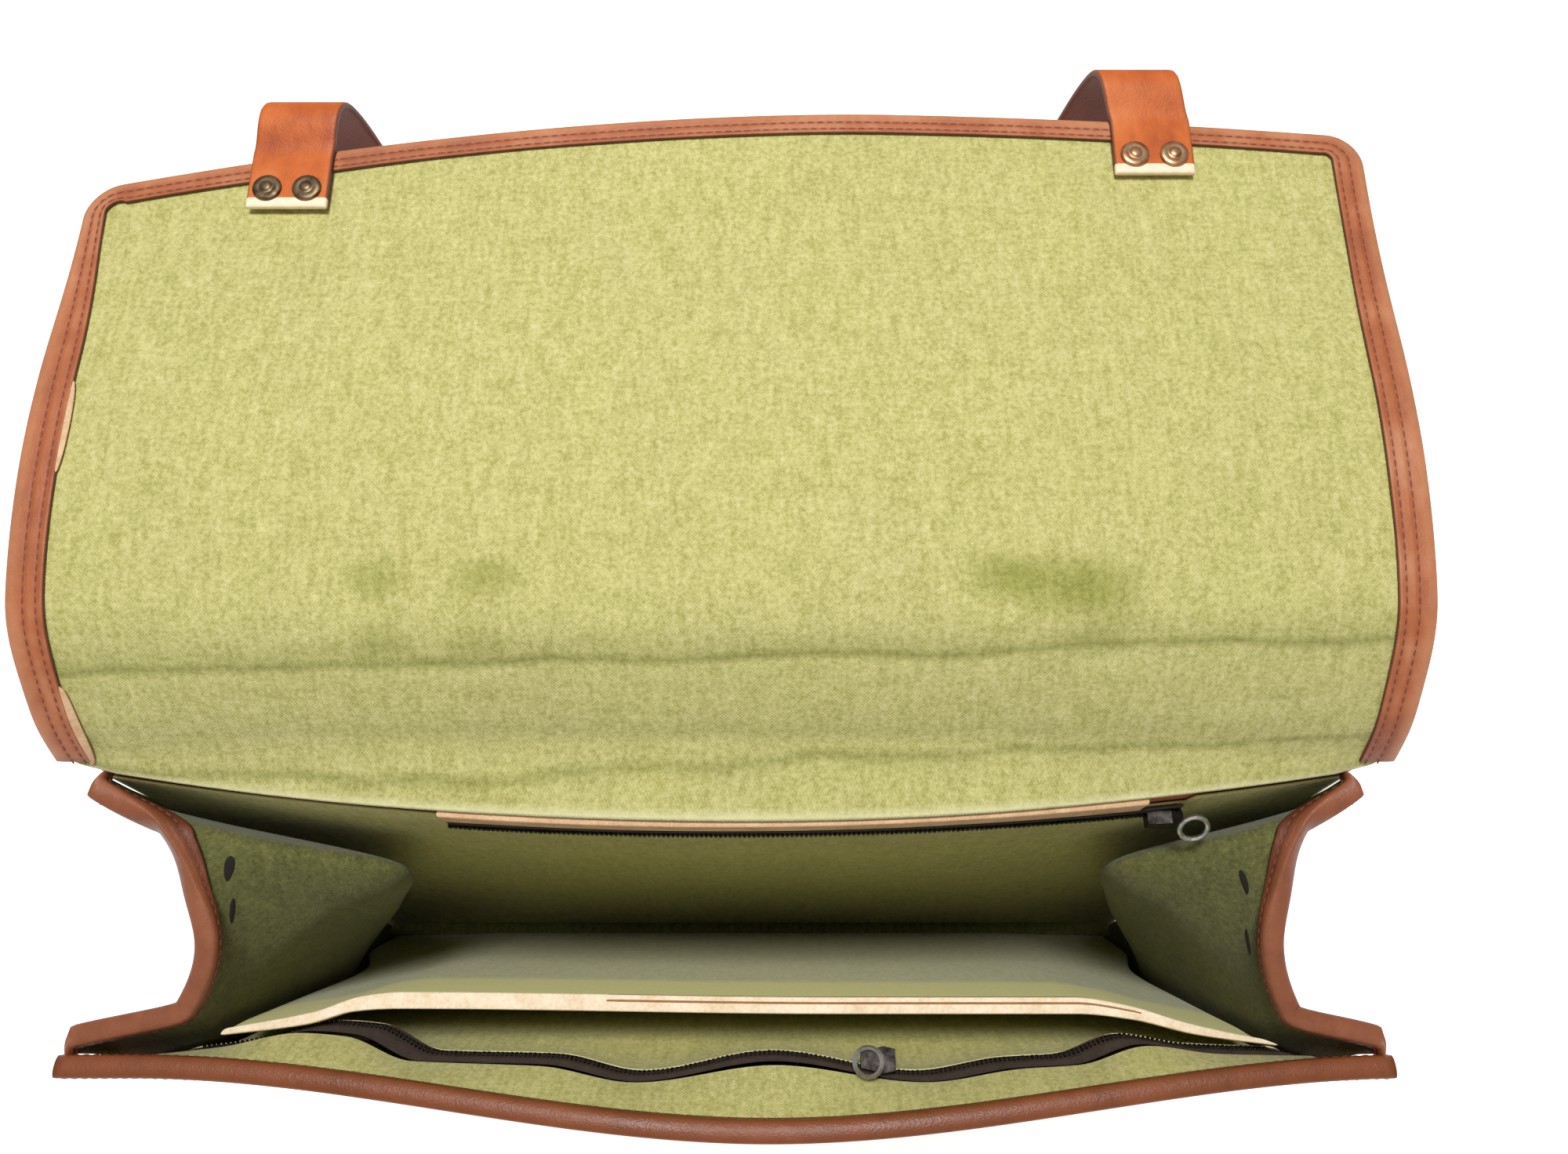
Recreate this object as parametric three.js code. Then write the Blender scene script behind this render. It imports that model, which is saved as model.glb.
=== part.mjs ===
// Laptop messenger bag, open, with its flap laid back: leather shell, canvas lining, folded edge
// bindings, a leaning padded divider, two zip pockets, two closure straps and their fittings.
// Millimetres, +X to the right as seen from the front, +Y to the back, +Z up.
// The origin is the centre of the base's underside.
import * as THREE from "three";

// Shell: the boxy body of the bag.
const bodyWidth = 392;
const bodyDepth = 78;
const backHeight = 285;
const frontHeight = 250;
const frontFlare = 8; // how far each top front corner stands out past the body
const mouthDepth = 105; // from the back to the front's top edge, in the bag's middle
const mouthDepthSide = 87; // and at its sides
const mouthBulgeAt = 14; // where across the mouth it is deepest
const ridgeBow = 16; // how far the back's top edge bows forward in its middle

// Thicknesses and clearances.
const leather = 2;
const canvas = 1;
const clearance = 0.3;
const bindingLeather = 1.2;
const bindingSlack = 0.85; // between a folded binding and the layers that it holds
const bindingRoom = 0.75; // between a binding's fold and the edge of those layers

// Flap, laid back from the top of the back.
const flapWidth = 409;
const flapLength = 222.5;
const flapSideLength = 213;
const flapSkew = 20; // how much shorter the flap lies at its left side
const flapCorner = 10;
const flapHeelCorner = 9;
const lipDepth = 14; // the strip at the hinge that the ridge's bow pulls forward

// Gussets: how deep their crumple reaches into the bag, and the height of their top edge.
const gussetFoldLeft = 84;
const gussetFoldRight = 66;
const gussetMidHeight = 265;
const earGap = 9.8; // the front's seam opens this far at its top, where both bindings pass

// Folded edge bindings.
const sideBindingWidth = 10;
const freeBindingWidth = 6.5;
const mouthBindingWidth = 8;

// Divider and pockets.
const dividerHeight = 235;
const dividerThickness = 5;
const dividerSideShare = 0.4; // its thickness at its sewn sides, as a share of the middle's
const dividerEdgeHeight = 2.4;
const dividerFootInset = 5;
const seamMargin = 2.4; // from a hanging panel's side edge to the gusset's lining
const pocketZipHeight = 230;
const pocketDepth = 175;
const zipSet = 25; // how far the zip line hangs behind the front's middle
const zipWave = 10;
const zipTapeWidth = 5;
const zipTapeThickness = 1;
const backZipFrom = -88;
const backZipTo = 144;
const lipTo = 130;
const lipHeight = 10;
const lipThickness = 2.2;
const backTapeWidth = 11;

// Zip sliders and their pull rings.
const sliderLength = 11;
const sliderWidth = 8;
const sliderHeight = 4;
const ringDiameter = 10.5;
const ringWire = 1.7;
const frontSliderAt = 48;

// Closure straps and rivets.
const strapWidth = 25.5;
const strapThickness = 2.3;
const strapLeftInset = 64.5; // from the flap's side to the strap's middle
const strapRightInset = 67.5;
const strapLeftShift = 14; // how far its hanging part swings sideways
const strapRightShift = -21;
const strapLength = 214;
const strapLap = 20; // how far the riveted end reaches in from the flap's edge
const rivetDiameter = 9.2;
const rivetHeight = 1.6;
const rivetSpacing = 12.6;
const rivetSet = 13.5; // from the flap's edge to the rivets' centres

// Side tabs, their rings, and the plain buckles on the front.
const tabWidth = 25;
const tabLength = 42;
const tabThickness = 2;
const tabRingWire = 3.4;
const tabRingHeight = 17;
const tabDrop = 12; // from the gusset's top edge to the tab's upper end
const tabTouchShare = 0.42; // where across the gusset the tab's front edge rests
const tabStandoff = 1.2;
const tabKick = 5; // how far its lower end swings out
const buckleWidth = 36;
const buckleHeight = 26;
const buckleWire = 3.2;
const buckleAt = 92;

// Worked out from the sizes above.
const halfWidth = bodyWidth / 2;
const halfDepth = bodyDepth / 2;
const flapHalf = flapWidth / 2;
const strapLeftAt = strapLeftInset - flapHalf;
const strapRightAt = flapHalf - strapRightInset;
const liningFace = leather + clearance + canvas;
const floorTop = leather + clearance + canvas;

// How the flap's slope eases from the hinge to its free edge: degrees of tilt at shares of its length.
const FLAP_TILT = [
  { at: 0, tilt: 70 },
  { at: 0.06, tilt: 64 },
  { at: 0.11, tilt: 52 },
  { at: 0.17, tilt: 49 },
  { at: 0.22, tilt: 39 },
  { at: 0.27, tilt: 23 },
  { at: 0.34, tilt: 18 },
  { at: 0.43, tilt: 13 },
  { at: 0.52, tilt: 8 },
  { at: 0.64, tilt: 4 },
  { at: 0.78, tilt: 7 },
  { at: 0.9, tilt: 10 },
  { at: 1, tilt: 9 },
];

// The gusset's crumple: rows go up it, columns go from the front seam to the back seam.
// Each number is the share of the gusset's fold by which that place is drawn in.
const FOLD_DEPTHS = [0, 0.12, 0.38, 0.64, 0.86, 1];
const GUSSET_FOLDS = [
  { up: 0, seam: 0, nearFront: 0, middle: 0, nearBack: 0, crease: 0, backSeam: 0 },
  { up: 0.2, seam: 0, nearFront: 0.03, middle: 0.05, nearBack: 0.07, crease: 0.06, backSeam: 0 },
  { up: 0.42, seam: 0, nearFront: 0.12, middle: 0.23, nearBack: 0.36, crease: 0.46, backSeam: 0 },
  { up: 0.64, seam: 0, nearFront: 0.2, middle: 0.36, nearBack: 0.58, crease: 0.77, backSeam: 0 },
  { up: 0.84, seam: 0, nearFront: 0.3, middle: 0.45, nearBack: 0.68, crease: 0.98, backSeam: 0 },
  { up: 0.94, seam: 0, nearFront: 0.39, middle: 0.47, nearBack: 0.5, crease: 0.6, backSeam: 0 },
  { up: 1, seam: 0, nearFront: 0.41, middle: 0.475, nearBack: 0.39, crease: 0.26, backSeam: 0 },
];

// The divider's top edge: across it, how far it stands before the back, as a share of mouthDepth.
const DIVIDER_EDGE = [
  { at: -1, before: 0.71 },
  { at: -0.84, before: 0.67 },
  { at: -0.76, before: 0.63 },
  { at: -0.68, before: 0.62 },
  { at: 0.24, before: 0.635 },
  { at: 0.68, before: 0.635 },
  { at: 0.78, before: 0.655 },
  { at: 0.88, before: 0.7 },
  { at: 1, before: 0.74 },
];

// The front pocket's zip line: across it, its wave as a share of zipWave.
const ZIP_LINE = [
  { at: -1, back: -0.1 },
  { at: -0.87, back: 0.2 },
  { at: -0.74, back: 0.7 },
  { at: -0.66, back: 0.6 },
  { at: -0.54, back: -0.2 },
  { at: -0.32, back: -0.3 },
  { at: -0.16, back: -0.8 },
  { at: 0.08, back: -0.2 },
  { at: 0.34, back: -0.8 },
  { at: 0.5, back: -0.4 },
  { at: 0.6, back: -0.3 },
  { at: 0.72, back: 0.3 },
  { at: 0.84, back: 0 },
  { at: 1, back: -0.1 },
];

// The front pocket's panel: down it, how far it stands behind the front's middle, as a share of bodyDepth.
const POCKET_DROP = [
  { down: 0, behind: 0.21 },
  { down: 0.16, behind: 0.31 },
  { down: 0.36, behind: 0.39 },
  { down: 0.62, behind: 0.42 },
  { down: 0.86, behind: 0.3 },
  { down: 1, behind: 0.06 },
];

// A closure strap's run past the flap's edge, as degrees of tilt against shares of its free length.
const STRAP_TILT = [
  { at: 0, tilt: 14 },
  { at: 0.03, tilt: 36 },
  { at: 0.06, tilt: 24 },
  { at: 0.085, tilt: -25 },
  { at: 0.12, tilt: -72 },
  { at: 0.2, tilt: -87 },
  { at: 0.6, tilt: -92 },
  { at: 1, tilt: -94 },
];

// The value of one column of a table at a place, eased between its rows.
function tableAt(rows, key, column, place) {
  const last = rows.length - 1;
  if (place <= rows[0][key]) return rows[0][column];
  if (place >= rows[last][key]) return rows[last][column];
  const i = rows.findIndex((row) => row[key] > place) - 1;
  const slope = (a, b) => (rows[b][column] - rows[a][column]) / (rows[b][key] - rows[a][key]);
  const span = rows[i + 1][key] - rows[i][key];
  const here = slope(i, i + 1);
  const ease = (other) => (other * here <= 0 ? 0 : (2 * other * here) / (other + here));
  const startSlope = i > 0 ? ease(slope(i - 1, i)) : here;
  const endSlope = i + 1 < last ? ease(slope(i + 1, i + 2)) : here;
  const t = (place - rows[i][key]) / span;
  const rise = rows[i + 1][column] - rows[i][column];
  const a = startSlope * span - rise;
  const b = rise - endSlope * span;
  return rows[i][column] + t * rise + t * (1 - t) * (a * (1 - t) + b * t);
}

const lerp = THREE.MathUtils.lerp;
const clamp = THREE.MathUtils.clamp;
const point = (x, y, z) => new THREE.Vector3(x, y, z);

// Evenly spaced numbers from one value to another.
function steps(from, to, count) {
  return Array.from({ length: count }, (_, i) => lerp(from, to, i / (count - 1)));
}

// A path in a plane that follows a table of tilts: gives { run, rise, tilt } at a distance along it.
function tiltPath(rows, length, pieces = 80) {
  const stops = [{ run: 0, rise: 0 }];
  for (let i = 0; i < pieces; i += 1) {
    const angle = THREE.MathUtils.degToRad(tableAt(rows, "at", "tilt", (i + 0.5) / pieces));
    const last = stops[i];
    const step = length / pieces;
    stops.push({ run: last.run + step * Math.cos(angle), rise: last.rise + step * Math.sin(angle) });
  }
  return (distance) => {
    const place = clamp(distance / length, 0, 1) * pieces;
    const i = Math.min(Math.floor(place), pieces - 1);
    const past = distance - clamp(distance, 0, length);
    const angle = THREE.MathUtils.degToRad(tableAt(rows, "at", "tilt", clamp(distance / length, 0, 1)));
    return {
      run: lerp(stops[i].run, stops[i + 1].run, place - i) + past * Math.cos(angle),
      rise: lerp(stops[i].rise, stops[i + 1].rise, place - i) + past * Math.sin(angle),
      tilt: angle,
    };
  };
}

// Turns vertices and faces into a geometry whose faces point out.
function closedGeometry(vertices, faces) {
  let volume = 0;
  for (const [a, b, c] of faces) {
    volume += vertices[a].dot(vertices[b].clone().cross(vertices[c]));
  }
  const index = faces.flatMap(([a, b, c]) => (volume > 0 ? [a, b, c] : [a, c, b]));
  const geometry = new THREE.BufferGeometry().setFromPoints(vertices);
  geometry.setIndex(index);
  const flat = geometry.toNonIndexed();
  flat.computeVertexNormals();
  return flat;
}

// A wall between two matching grids of points: its outer face and its inner face.
function wall(rowCount, columnCount, outer, inner) {
  const vertices = [];
  for (const face of [outer, inner]) {
    for (let i = 0; i < rowCount; i += 1) {
      for (let j = 0; j < columnCount; j += 1) vertices.push(face(i, j));
    }
  }
  const faces = [];
  const quad = (a, b, c, d) => faces.push([a, b, c], [a, c, d]);
  const out = (i, j) => i * columnCount + j;
  const inn = (i, j) => rowCount * columnCount + out(i, j);
  for (let i = 0; i + 1 < rowCount; i += 1) {
    for (let j = 0; j + 1 < columnCount; j += 1) {
      quad(out(i, j), out(i + 1, j), out(i + 1, j + 1), out(i, j + 1));
      quad(inn(i, j), inn(i, j + 1), inn(i + 1, j + 1), inn(i + 1, j));
    }
  }
  const right = columnCount - 1;
  const end = rowCount - 1;
  for (let i = 0; i < end; i += 1) {
    quad(out(i, 0), inn(i, 0), inn(i + 1, 0), out(i + 1, 0));
    quad(out(i, right), out(i + 1, right), inn(i + 1, right), inn(i, right));
  }
  for (let j = 0; j < right; j += 1) {
    quad(out(0, j), out(0, j + 1), inn(0, j + 1), inn(0, j));
    quad(out(end, j), inn(end, j), inn(end, j + 1), out(end, j + 1));
  }
  return closedGeometry(vertices, faces);
}

// A layer of a surface: places across it and down it, between two offsets from it.
function layer(surface, across, down, offsetOut, offsetIn) {
  return wall(
    across.length,
    down.length,
    (i, j) => surface(across[i], down[j], offsetOut),
    (i, j) => surface(across[i], down[j], offsetIn),
  );
}

// A folded binding: an open U whose legs lie on both sides of an edge.
// edge(place, inward, offset) gives a point, with inward counted from the edge into the sheet.
function binding(edge, places, frontLeg, backLeg, face, back) {
  const bump = bindingSlack + bindingLeather;
  const middle = (face + back) / 2;
  const half = (back - face) / 2;
  const outerPath = [
    [frontLeg, face - bump],
    [0, face - bump],
    [-bump * 0.8, middle - half * 0.6],
    [-bump * 0.8, middle + half * 0.6],
    [0, back + bump],
    [backLeg, back + bump],
  ];
  const innerPath = [
    [frontLeg, face - bindingSlack],
    [0, face - bindingSlack],
    [-bindingRoom, middle - half * 0.5],
    [-bindingRoom, middle + half * 0.5],
    [0, back + bindingSlack],
    [backLeg, back + bindingSlack],
  ];
  return wall(
    places.length,
    outerPath.length,
    (i, j) => edge(places[i], ...outerPath[j]),
    (i, j) => edge(places[i], ...innerPath[j]),
  );
}

// A round wire bent along a path of points.
function wire(path, radius, sides, isLoop) {
  const count = path.length;
  const vertices = [];
  const normal = new THREE.Vector3().crossVectors(
    path[1].clone().sub(path[0]),
    path[2].clone().sub(path[1]),
  );
  normal.normalize();
  for (let i = 0; i < count; i += 1) {
    const before = path[isLoop ? (i + count - 1) % count : Math.max(i - 1, 0)];
    const after = path[isLoop ? (i + 1) % count : Math.min(i + 1, count - 1)];
    const tangent = after.clone().sub(before).normalize();
    const side = new THREE.Vector3().crossVectors(tangent, normal).normalize();
    for (let k = 0; k < sides; k += 1) {
      const turn = ((k + 0.5) / sides) * Math.PI * 2;
      const out = side.clone().multiplyScalar(Math.cos(turn) * radius);
      out.addScaledVector(normal, Math.sin(turn) * radius);
      vertices.push(path[i].clone().add(out));
    }
  }
  const faces = [];
  const ringCount = isLoop ? count : count - 1;
  for (let i = 0; i < ringCount; i += 1) {
    for (let k = 0; k < sides; k += 1) {
      const a = i * sides + k;
      const b = i * sides + ((k + 1) % sides);
      const c = ((i + 1) % count) * sides + ((k + 1) % sides);
      const d = ((i + 1) % count) * sides + k;
      faces.push([a, b, c], [a, c, d]);
    }
  }
  return closedGeometry(vertices, faces);
}

// The places along a rectangle with round corners, in its own plane.
function roundedLoop(width, height, corner, perCorner) {
  const places = [];
  const centres = [
    [width / 2 - corner, height / 2 - corner],
    [corner - width / 2, height / 2 - corner],
    [corner - width / 2, corner - height / 2],
    [width / 2 - corner, corner - height / 2],
  ];
  centres.forEach(([cx, cy], quarter) => {
    for (let i = 0; i < perCorner; i += 1) {
      const turn = ((quarter + i / (perCorner - 1)) * Math.PI) / 2;
      places.push([cx + corner * Math.cos(turn), cy + corner * Math.sin(turn)]);
    }
  });
  return places;
}

// Back: how far its wall bows forward at a place.
function backBow(x, z) {
  const across = 1 - clamp(Math.abs(x) / halfWidth, 0, 1) ** 2;
  return ridgeBow * across * clamp(z / backHeight, 0, 1) ** 2;
}

// A point of the back, at a depth counted inwards from its outer face.
function backPoint(x, z, depth) {
  return point(x, halfDepth - backBow(x, z) - depth, z);
}

// Front: its half width at a height, and its outer face's place.
function frontHalfWidth(z) {
  return halfWidth + frontFlare * clamp(z / frontHeight, 0, 1) ** 2;
}

function frontFace(x, z) {
  const aside = THREE.MathUtils.smoothstep(Math.abs(x - mouthBulgeAt), 0, halfWidth);
  const top = halfDepth - lerp(mouthDepth, mouthDepthSide, aside);
  return lerp(-halfDepth, top, clamp(z / frontHeight, 0, 1) ** 1.3);
}

function frontPoint(share, z, depth) {
  const x = share * frontHalfWidth(z);
  return point(x, frontFace(x, z) + depth, z);
}

// Gussets: the height of the top edge at a share of the way from the front seam to the back seam.
function gussetTop(depthShare) {
  const toMiddle = clamp(depthShare / FOLD_DEPTHS[2], 0, 1);
  const pastMiddle = clamp((depthShare - FOLD_DEPTHS[2]) / (1 - FOLD_DEPTHS[2]), 0, 1);
  const risen = lerp(frontHeight, gussetMidHeight, toMiddle);
  return risen + (backHeight - gussetMidHeight) * pastMiddle;
}

// How far a gusset is drawn in at a place. Side is -1 for the left one and 1 for the right one.
function gussetFoldAt(side, depthShare, upShare) {
  const columns = ["seam", "nearFront", "middle", "nearBack", "crease", "backSeam"];
  const rows = columns.map((column, i) => ({
    at: FOLD_DEPTHS[i],
    fold: tableAt(GUSSET_FOLDS, "up", column, upShare),
  }));
  const fold = side < 0 ? gussetFoldLeft : gussetFoldRight;
  return fold * tableAt(rows, "at", "fold", depthShare);
}

// The gusset's skin, before it has thickness.
function gussetSkin(side, depthShare, upShare) {
  const z = lerp(leather + clearance, gussetTop(depthShare), upShare);
  const flare = (1 - depthShare) * (frontHalfWidth(z) - halfWidth);
  const x = side * (halfWidth - leather - clearance + flare - gussetFoldAt(side, depthShare, upShare));
  const opening = clamp((upShare - 0.86) / 0.08, 0, 1);
  const frontDepth = lerp(leather + clearance + leather, earGap, opening);
  const backDepth = liningFace + clearance + leather + opening * (bindingLeather + bindingSlack);
  const front = frontFace(x, z) + frontDepth;
  const back = halfDepth - backBow(x, z) - backDepth;
  return point(x, lerp(front, back, depthShare), z);
}

// A point of a gusset: inward is positive offset into the bag, negative is out into its leather.
function gussetPoint(side, depthShare, upShare, inward) {
  const skin = gussetSkin(side, depthShare, upShare);
  const small = 0.004;
  const nearFront = gussetSkin(side, clamp(depthShare - small, 0, 1), upShare);
  const nearBack = gussetSkin(side, clamp(depthShare + small, 0, 1), upShare);
  const below = gussetSkin(side, depthShare, clamp(upShare - small, 0, 1));
  const above = gussetSkin(side, depthShare, clamp(upShare + small, 0, 1));
  const normal = nearBack.sub(nearFront).cross(above.sub(below)).normalize();
  return skin.addScaledVector(normal, -side * inward);
}

// The inner face of a gusset's lining at a depth and height of the bag, as a distance from the middle.
function gussetInside(side, y, z) {
  const front = frontFace(halfWidth, z) + leather + clearance;
  const share = clamp((y - front) / (halfDepth - liningFace - leather - front), 0, 1);
  const up = clamp((z - floorTop) / (gussetTop(share) - floorTop), 0, 1);
  const flare = (1 - share) * (frontHalfWidth(z) - halfWidth);
  return halfWidth - leather + flare - gussetFoldAt(side, share, up) - 2 * canvas - clearance;
}

// Flap: where its free edge lies across it, with round corners, and where its heel starts.
const flapRun = tiltPath(FLAP_TILT, flapLength);

function flapAside(x) {
  return clamp((flapHalf * 0.25 - x) / (flapHalf * 1.25), 0, 1) ** 1.6;
}

function flapEnd(x, inset = 0, corner = flapCorner) {
  const half = flapHalf - inset;
  const past = Math.max(0, Math.abs(x) - (half - corner));
  const across = 1 - clamp(Math.abs(x) / flapHalf, 0, 1) ** 2;
  const straight = lerp(flapSideLength, flapLength, across) - flapSkew * flapAside(x);
  return straight - corner + Math.sqrt(Math.max(0, corner ** 2 - past ** 2));
}

function flapHeel(x, corner = flapHeelCorner) {
  const past = Math.max(0, Math.abs(x) - (flapHalf - corner));
  return corner - Math.sqrt(Math.max(0, corner ** 2 - past ** 2));
}

// A point of the flap at a place across it and up it; offset is positive towards its leather side.
function flapPoint(x, up, offset) {
  const place = flapRun(up);
  const across = 1 - clamp(Math.abs(x) / halfWidth, 0, 1) ** 2;
  const pulled = ridgeBow * across * clamp(1 - up / lipDepth, 0, 1) ** 1.5;
  const y = halfDepth + place.run - pulled + offset * Math.sin(place.tilt);
  const z = backHeight + clearance + place.rise - offset * Math.cos(place.tilt);
  return point(x, y, z);
}

// A place on the flap's outline, or on a line set in from it, for its binding to follow.
function flapOutline(place, insetSide, insetFree, corner) {
  const half = flapHalf - insetSide;
  const end = (x) => flapEnd(x, insetSide, corner) - insetFree;
  if (place.leg === "free") {
    const x = lerp(corner - half, half - corner, place.t);
    return { x, up: end(x) };
  }
  if (place.leg === "corner") {
    const x = place.side * (half - corner + corner * Math.cos((place.t * Math.PI) / 2));
    return { x, up: end(x) };
  }
  const x = place.side * half;
  return { x, up: lerp(flapHeelCorner * 0.4, end(x), place.t) };
}

const materials = {};

// A finish, made once and shared.
function finish(name, colour, roughness, metalness = 0) {
  if (!materials[name]) {
    materials[name] = new THREE.MeshStandardMaterial({ color: colour, roughness, metalness });
    materials[name].name = name;
  }
  return materials[name];
}

const shellLeather = () => finish("shell_leather", 0x9a5234, 0.55);
const bindingFinish = () => finish("binding_leather", 0xa85a38, 0.5);
const rawLeather = () => finish("raw_leather", 0xd8b08a, 0.75);
const liningCanvas = () => finish("lining_canvas", 0xbcb96c, 0.9);
const creamEdge = () => finish("cream_edge", 0xf6e6cc, 0.8);
const zipTapeCloth = () => finish("zip_tape", 0x2b2018, 0.85);
const darkMetal = () => finish("dark_metal", 0x1c1a18, 0.45, 0.7);
const silverMetal = () => finish("silver_metal", 0xd0d0cc, 0.3, 1);
const rivetMetal = () => finish("rivet_metal", 0xb08a5a, 0.35, 1);

const bag = new THREE.Group();
bag.name = "laptop_messenger_bag";

function add(name, geometry, material) {
  const mesh = new THREE.Mesh(geometry, material.clone());
  mesh.name = name;
  bag.add(mesh);
  return mesh;
}

function addShell() {
  const base = new THREE.BoxGeometry(bodyWidth, bodyDepth, leather);
  base.translate(0, 0, leather / 2);
  add("base_panel", base, shellLeather());

  const floor = new THREE.BoxGeometry(
    bodyWidth - 2 * (leather + canvas + 3 * clearance),
    bodyDepth - 2 * (leather + clearance),
    canvas,
  );
  floor.translate(0, 0, leather + clearance + canvas / 2);
  add("floor_lining", floor, liningCanvas());

  const foot = leather + clearance;
  const backAcross = steps(-halfWidth, halfWidth, 17);
  const backRise = steps(foot, backHeight, 7);
  add("back_panel", layer(backPoint, backAcross, backRise, 0, leather), shellLeather());

  const frontAcross = steps(-1, 1, 25);
  const frontRise = steps(foot, frontHeight, 6);
  add("front_panel", layer(frontPoint, frontAcross, frontRise, 0, leather), shellLeather());
}

function addBackLining() {
  const reach = halfWidth - leather;
  const lipFoot = backHeight - lipHeight - clearance;
  const plainTop = backHeight - 2 * leather;
  const across = [
    ...steps(-reach, backZipFrom - leather, 5),
    ...steps(backZipFrom - clearance, backZipTo + clearance, 10),
    ...steps(backZipTo + leather, reach, 4),
  ];
  const top = (x) => (x > backZipFrom - leather && x < backZipTo + leather ? lipFoot : plainTop);
  const surface = (x, share, depth) => backPoint(x, lerp(floorTop + clearance, top(x), share), depth);
  add(
    "back_lining",
    layer(surface, across, steps(0, 1, 6), leather + clearance, liningFace),
    liningCanvas(),
  );
}

function addFlap() {
  const turns = [0, 0.33, 0.67];
  const corner = (t) => flapHalf - flapCorner + flapCorner * Math.cos((t * Math.PI) / 2);
  const across = [
    ...turns.map((t) => -corner(t)),
    ...steps(flapCorner - flapHalf, flapHalf - flapCorner, 11),
    ...[...turns].reverse().map(corner),
  ];
  const ups = [0, 0.03, 0.07, 0.12, 0.16, 0.2, 0.24, 0.28, 0.33, 0.38, 0.46, 0.6, 0.8, 1];
  const surface = (x, share, offset) => flapPoint(x, lerp(flapHeel(x), flapEnd(x), share), offset);
  add("flap", layer(surface, across, ups, leather, 0), shellLeather());
  add("flap_lining", layer(surface, across, ups, -clearance, -clearance - canvas), liningCanvas());

  const places = [
    ...ups.map((t) => ({ leg: "side", side: -1, t })),
    ...turns.slice(1).map((t) => ({ leg: "corner", side: -1, t })),
    ...steps(0, 1, 11).map((t) => ({ leg: "free", side: 1, t })),
    ...turns.slice(1).reverse().map((t) => ({ leg: "corner", side: 1, t })),
    ...[...ups].reverse().map((t) => ({ leg: "side", side: 1, t })),
  ];
  const innerCorner = 2;
  const edge = (place, inward, offset) => {
    const rim = flapOutline(place, 0, 0, flapCorner);
    const inner = flapOutline(place, sideBindingWidth, freeBindingWidth, innerCorner);
    const share = inward / sideBindingWidth;
    return flapPoint(lerp(rim.x, inner.x, share), lerp(rim.up, inner.up, share), offset);
  };
  add(
    "flap_binding",
    binding(edge, places, sideBindingWidth, sideBindingWidth, -clearance - canvas, leather),
    bindingFinish(),
  );
}

function addGussets() {
  for (const [name, side] of [["left", -1], ["right", 1]]) {
    const across = [0, 0.06, 0.12, 0.22, 0.34, 0.48, 0.64, 0.74, 0.81, 0.86, 0.91, 0.96, 1];
    const legFoot = 1 - mouthBindingWidth / backHeight;
    const innerFoot = 1 - (mouthBindingWidth * 0.6) / backHeight;
    const ups = [0, 0.2, 0.36, 0.5, 0.64, 0.76, 0.86, 0.94, legFoot, innerFoot, 1];
    const surface = (share, up, inward) => gussetPoint(side, share, up, inward);
    add(`gusset_${name}`, layer(surface, across, ups, -leather, 0), shellLeather());
    add(
      `gusset_lining_${name}`,
      layer(surface, across, ups, clearance, clearance + canvas),
      liningCanvas(),
    );
    const edge = (share, inward, offset) => {
      const up = 1 - Math.max(inward, 0) / backHeight;
      const place = gussetPoint(side, share, up, offset);
      return place.setZ(place.z - Math.min(inward, 0));
    };
    add(
      `gusset_binding_${name}`,
      binding(edge, across, mouthBindingWidth, mouthBindingWidth * 0.6, -leather, clearance + canvas),
      bindingFinish(),
    );
  }
}

function zipLineBack(share) {
  return halfDepth - mouthDepth + zipSet + zipWave * tableAt(ZIP_LINE, "at", "back", share);
}

function addFrontPocket() {
  const across = steps(-1, 1, 25);
  const legLength = mouthBindingWidth * 0.6;
  const parallel = legLength + 1;
  const facingLength = frontHeight - pocketZipHeight;
  const hemAt = pocketZipHeight + zipTapeWidth * 0.3;
  const facing = (share, down, depth) => {
    const z = lerp(frontHeight - clearance, hemAt, down);
    const tucked = clamp((frontHeight - z - parallel) / (facingLength - parallel), 0, 1);
    const hem = zipLineBack(share) - zipTapeThickness;
    const reach = Math.min(gussetInside(share, hem, z) - seamMargin, halfWidth - mouthBindingWidth);
    const start = frontFace(share * reach, z) + leather + clearance;
    return point(share * reach, lerp(start, hem, tucked) + depth, z);
  };
  add("front_lining", layer(facing, across, [0, 0.3, 0.65, 1], 0, canvas), liningCanvas());

  const tape = (share, down, depth) => {
    const z = hemAt - clearance - down * zipTapeWidth * 0.6;
    const y = zipLineBack(share) - zipTapeThickness + depth + down * zipTapeWidth * 0.4;
    const reach = gussetInside(share, y, z) - seamMargin - 2 * leather;
    return point(share * reach, y, z);
  };
  add("front_zip_tape", layer(tape, across, [0, 1], 0, zipTapeThickness * 1.6), zipTapeCloth());

  const panelTop = hemAt - zipTapeWidth * 0.6 - 2 * clearance;
  const panel = (share, down, depth) => {
    const z = panelTop - down * pocketDepth;
    const behind = bodyDepth * tableAt(POCKET_DROP, "down", "behind", down);
    const sewn = frontFace(share * halfWidth, z) + leather + 2 * clearance;
    const hung = Math.max(frontFace(0, z) + behind, sewn);
    const held = zipLineBack(share) + zipTapeWidth * 0.4;
    const y = lerp(held, hung, clamp(down / 0.16, 0, 1)) + depth;
    const reach = gussetInside(share, y, z) - seamMargin - leather;
    return point(share * reach, y, z);
  };
  const drops = [0, 0.08, 0.16, 0.36, 0.62, 0.86, 1];
  add("front_pocket", layer(panel, across, drops, 0, canvas), liningCanvas());

  const edge = (share, inward, depth) => frontPoint(share, frontHeight - inward, depth);
  add(
    "front_binding",
    binding(edge, steps(-1, 1, 25), mouthBindingWidth, legLength, 0, liningFace),
    bindingFinish(),
  );
}

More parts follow.
